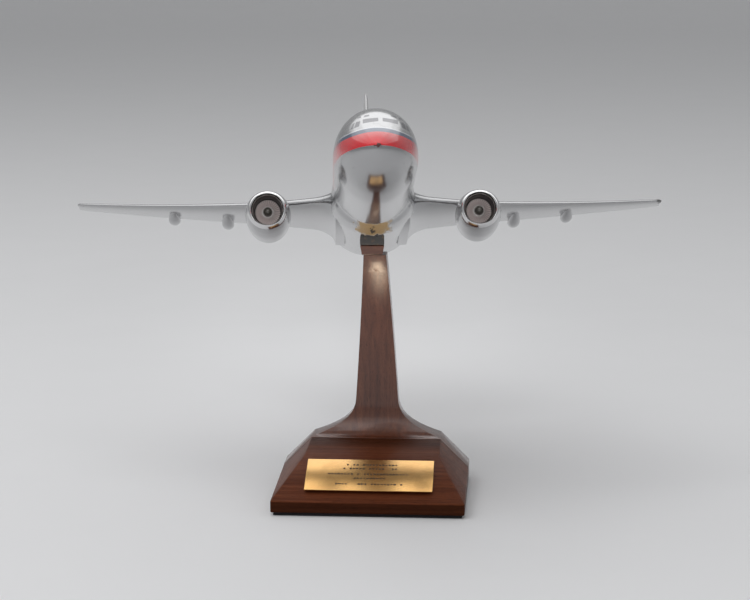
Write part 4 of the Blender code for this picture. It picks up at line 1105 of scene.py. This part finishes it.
def cowl_paint():
    """The cowl's outside is aluminium, its inside and its tailpipe are sprayed black."""
    material, tree, shader = new_material("cowl_paint")
    place = in_millimetres(tree, AIRFRAME)
    across, station, height = split(tree, place)
    colour, roughness, relief = aluminium_coat(tree, place)
    side = abs(across) - ENGINE_X
    front = ((side ** 2.0 + (height - DUCT_LEVEL) ** 2.0) ** 0.5 - THROAT_RADIUS).step(0.35, 0.55)
    rear = ((side ** 2.0 + (height - COWL[-1][4]) ** 2.0) ** 0.5 - TAILPIPE_RADIUS).step(0.1, 0.5)
    back_half = station.step(INLET + 15.0, INLET + 16.0)
    outside = back_half * rear + (1 - back_half) * front
    soot = noise(tree, place, 0.9, 4.0)
    black = blend_colour(tree, soot, (0.0010, 0.0008, 0.0008), (0.0035, 0.0028, 0.0026))
    plug(tree, shader, (), {"Base Color": blend_colour(tree, outside, black, colour),
                            "Metallic": outside * 0.90,
                            "Roughness": roughness + (1 - outside) * 0.3, "IOR": 1.6,
                            "Coat Weight": 0.25, "Coat Roughness": 0.06,
                            "Normal": bumped(tree, relief, 0.00003, 0.22)})
    return material


def fan_metal():
    """Warm grey blades, paler towards the hub and darker towards their tips."""
    material, tree, shader = new_material("fan_metal")
    place = in_millimetres(tree, AIRFRAME)
    across, station, height = split(tree, place)
    out = ((abs(across) - ENGINE_X) ** 2.0 + (height - DUCT_LEVEL) ** 2.0) ** 0.5
    grain = noise(tree, place, 2.4, 4.0, 0.6)
    colour = blend_colour(tree, grain, (0.70, 0.60, 0.58), (0.86, 0.78, 0.76))
    colour = blend_colour(tree, 1 - out.step(2.3, 3.3), colour, (0.95, 0.91, 0.89))
    colour = blend_colour(tree, out.step(5.0, 5.9) * 0.45, colour, (0.22, 0.18, 0.17))
    plug(tree, shader, (), {"Base Color": colour, "Metallic": 0.25,
                            "Roughness": grain * 0.12 + 0.40,
                            "Normal": bumped(tree, grain, 0.00003, 0.4)})
    return material


def spinner_grey():
    material, tree, shader = new_material("spinner_grey")
    grain = noise(tree, in_millimetres(tree, AIRFRAME), 1.6, 4.0)
    plug(tree, shader, (), {"Base Color": blend_colour(tree, grain, (0.050, 0.047, 0.040),
                                                       (0.095, 0.090, 0.078)),
                            "Roughness": grain * 0.1 + 0.20, "Coat Weight": 0.8,
                            "Coat Roughness": 0.08,
                            "Normal": bumped(tree, grain, 0.00003, 0.3)})
    return material


BLADES, BLADE_THICKNESS, BLADE_CHORD, BLADE_TWIST = 34, 0.16, 1.0, 0.85
HUB_RADIUS, FAN_RADIUS, FAN_MIDDLE = 2.0, 5.75, 9.55


def fan_wheel(material):
    """Blades set round a hub, each a thin strip that turns flatter towards its tip."""
    tree, given = new_geometry("fan_wheel", [
        ("Blades", "Int"), ("Hub Radius", "Float"), ("Fan Radius", "Float"),
        ("Thickness", "Float"), ("Chord", "Float"), ("Twist", "Float")])
    span = given["Fan Radius"] - given["Hub Radius"]
    size = add(tree, "ShaderNodeCombineXYZ", {}, span, given["Thickness"], given["Chord"])
    blade = add(tree, "GeometryNodeMeshCube", {}, Size=size["Vector"], Vertices_X=7,
                Vertices_Y=2, Vertices_Z=4)["Mesh"]
    here = add(tree, "GeometryNodeInputPosition")["Position"]
    x, _, z = split(tree, here)
    angle = given["Twist"] * (x / span + 0.7)
    turned = add(tree, "ShaderNodeVectorRotate", {"rotation_type": "X_AXIS"}, Vector=here,
                 Angle=angle)["Vector"]
    bow = z * z / given["Chord"] * 0.35
    out = add(tree, "ShaderNodeCombineXYZ", {}, span * 0.5 + given["Hub Radius"], bow)
    moved = add(tree, "ShaderNodeVectorMath", {"operation": "ADD"}, turned, out["Vector"])
    shaped = add(tree, "GeometryNodeSetPosition", {}, Geometry=blade,
                 Position=moved["Vector"])["Geometry"]
    dots = add(tree, "GeometryNodePoints", {}, Count=given["Blades"])["Points"]
    number = add(tree, "GeometryNodeInputIndex")["Index"]
    turn = add(tree, "ShaderNodeCombineXYZ", {}, 0.0, 0.0, number / given["Blades"] * math.tau)
    wheel = add(tree, "GeometryNodeInstanceOnPoints", {}, Points=dots, Instance=shaped,
                Rotation=turn["Vector"])["Instances"]
    hub = add(tree, "GeometryNodeMeshCylinder", {}, Vertices=48,
              Radius=given["Hub Radius"] + 0.35, Depth=given["Chord"])["Mesh"]
    joined = add(tree, "GeometryNodeJoinGeometry")
    for part in (wheel, hub):
        tree.links.new(part.socket, joined.node.inputs[0])
    end_geometry(tree, joined["Geometry"], material)
    return tree


fan_finish, lip_finish, cowl_finish, spinner_finish = (
    fan_metal(), polished_lip(), cowl_paint(), spinner_grey())
pylon_finish = bare_aluminium("pylon_paint")
wheel_tree = fan_wheel(fan_finish)
# distance behind the inlet plane, half width, top, bottom
PYLON = [(9, 0.5, -5.9, -7.4), (14, 1.3, -4.0, -8.4), (24, 1.6, -3.4, -8.8),
         (34, 1.6, -4.9, -9.6), (39.5, 1.6, -6.9, -10.9), (46, 1.5, -8.6, -11.8),
         (56, 1.2, -9.0, -12.3), (66, 0.6, -9.4, -11.6)]
LIP_TURN = [(LIP_LENGTH, THROAT_RADIUS), (1.7, 6.86), (0.95, 7.08), (0.45, 7.3), (0.15, 7.5)]

for hand, side in SIDES:
    outer_steps = [LIP_LENGTH + LIP_GAP + (COWL_LENGTH - LIP_LENGTH - LIP_GAP) * i / 30
                   for i in range(31)]
    rings = [round_ring(side, DUCT_DEPTH, 0.4), round_ring(side, DUCT_DEPTH, 3.0),
             round_ring(side, DUCT_DEPTH, DUCT_RADIUS), round_ring(side, 9.0, DUCT_RADIUS + 0.02),
             round_ring(side, 6.0, DUCT_RADIUS + 0.15), round_ring(side, 4.2, DUCT_RADIUS + 0.4),
             round_ring(side, LIP_LENGTH + LIP_GAP, THROAT_RADIUS)]
    rings += [cowl_ring(side, behind) for behind in outer_steps]
    rear_level = COWL[-1][4]
    rings += [round_ring(side, COWL_LENGTH, TAILPIPE_RADIUS + 0.7, rear_level),
              round_ring(side, COWL_LENGTH - 0.3, TAILPIPE_RADIUS + 0.3, rear_level),
              round_ring(side, COWL_LENGTH - TAILPIPE_DEPTH, TAILPIPE_RADIUS, rear_level),
              round_ring(side, COWL_LENGTH - TAILPIPE_DEPTH, 3.0, rear_level),
              round_ring(side, COWL_LENGTH - TAILPIPE_DEPTH, 0.4, rear_level)]
    cowl = skin("engine_cowl_" + hand, rings, cowl_finish, 60)
    air_piece(cowl, "nacelle_" + hand)

    rings = [round_ring(side, behind, radius) for behind, radius in LIP_TURN]
    rings += [engine_ring(side, 0.02, 7.8, 7.42, 7.2, DUCT_LEVEL)]
    rings += [cowl_ring(side, behind) for behind in (0.06, 0.3, 0.6, 1.0, 1.5, 2.0, LIP_LENGTH)]
    lip = skin("polished_inlet_lip_" + hand, rings, lip_finish, 80, closed=True)
    air_piece(lip, "inlet_lip_" + hand)

    hub_place = (AIRFRAME @ Matrix.Translation(Vector((side * ENGINE_X, INLET + FAN_MIDDLE,
                                                       DUCT_LEVEL)) * 0.001)
                 @ Matrix.Rotation(math.radians(90), 4, "X") @ Matrix.Scale(0.001, 4))
    wheel = grown("fan_wheel_" + hand, wheel_tree,
                  {"Blades": BLADES, "Hub Radius": HUB_RADIUS, "Fan Radius": FAN_RADIUS,
                   "Thickness": BLADE_THICKNESS, "Chord": BLADE_CHORD, "Twist": BLADE_TWIST},
                  hub_place)
    air_piece(wheel, "fan_disc_" + hand)

    profile = [(4.0 - 4.0 * math.cos(math.radians(turn)), 2.2 * math.sin(math.radians(turn)))
               for turn in (4, 12, 22, 34, 46, 58, 70, 80, 90)]
    spinner = skin("spinner_cap_" + hand, [round_ring(side, 4.7 + along, radius)
                                           for along, radius in profile], spinner_finish)
    air_piece(spinner, "spinner_" + hand)
    finish_node("fan_pin_" + hand, steel)

    rings = []
    for step in range(58):
        wide, top, bottom = between(PYLON, 9 + step)
        middle, up = (top + bottom) / 2, (top - bottom) / 2
        rings.append([(side * ENGINE_X + wide * math.copysign(abs(math.cos(a)) ** 0.5, math.cos(a)),
                       INLET + 9 + step,
                       middle + up * math.copysign(abs(math.sin(a)) ** 0.5, math.sin(a)))
                      for a in (math.tau * k / 32 for k in range(32))])
    pylon = skin("engine_pylon_" + hand, rings, pylon_finish)
    air_piece(pylon, "pylon_" + hand)

    core_start, core_end, end_level = COWL_LENGTH - TAILPIPE_DEPTH + 0.3, 46.3, rear_level - 1.6
    core = skin("core_pipe_" + hand, [
        round_ring(side, core_start, 4.7, rear_level),
        round_ring(side, 36.0, 4.6, rear_level - 0.32),
        round_ring(side, 40.0, 4.4, rear_level - 0.85),
        round_ring(side, core_end - 0.2, 3.95, end_level), round_ring(side, core_end, 3.8, end_level),
        round_ring(side, core_end, 3.1, end_level), round_ring(side, core_end - 0.5, 2.9, end_level),
        round_ring(side, core_end - 0.5, 0.4, end_level)], steel)
    air_piece(core, "core_nozzle_" + hand)
    cone = skin("exhaust_plug_" + hand, [
        round_ring(side, core_end + 0.3 + 6.2 * share, 2.57 * (1 - share**1.6) + 0.25, end_level)
        for share in (0, 0.15, 0.3, 0.45, 0.6, 0.75, 0.88, 0.96, 1.0)], steel)
    air_piece(cone, "exhaust_cone_" + hand)
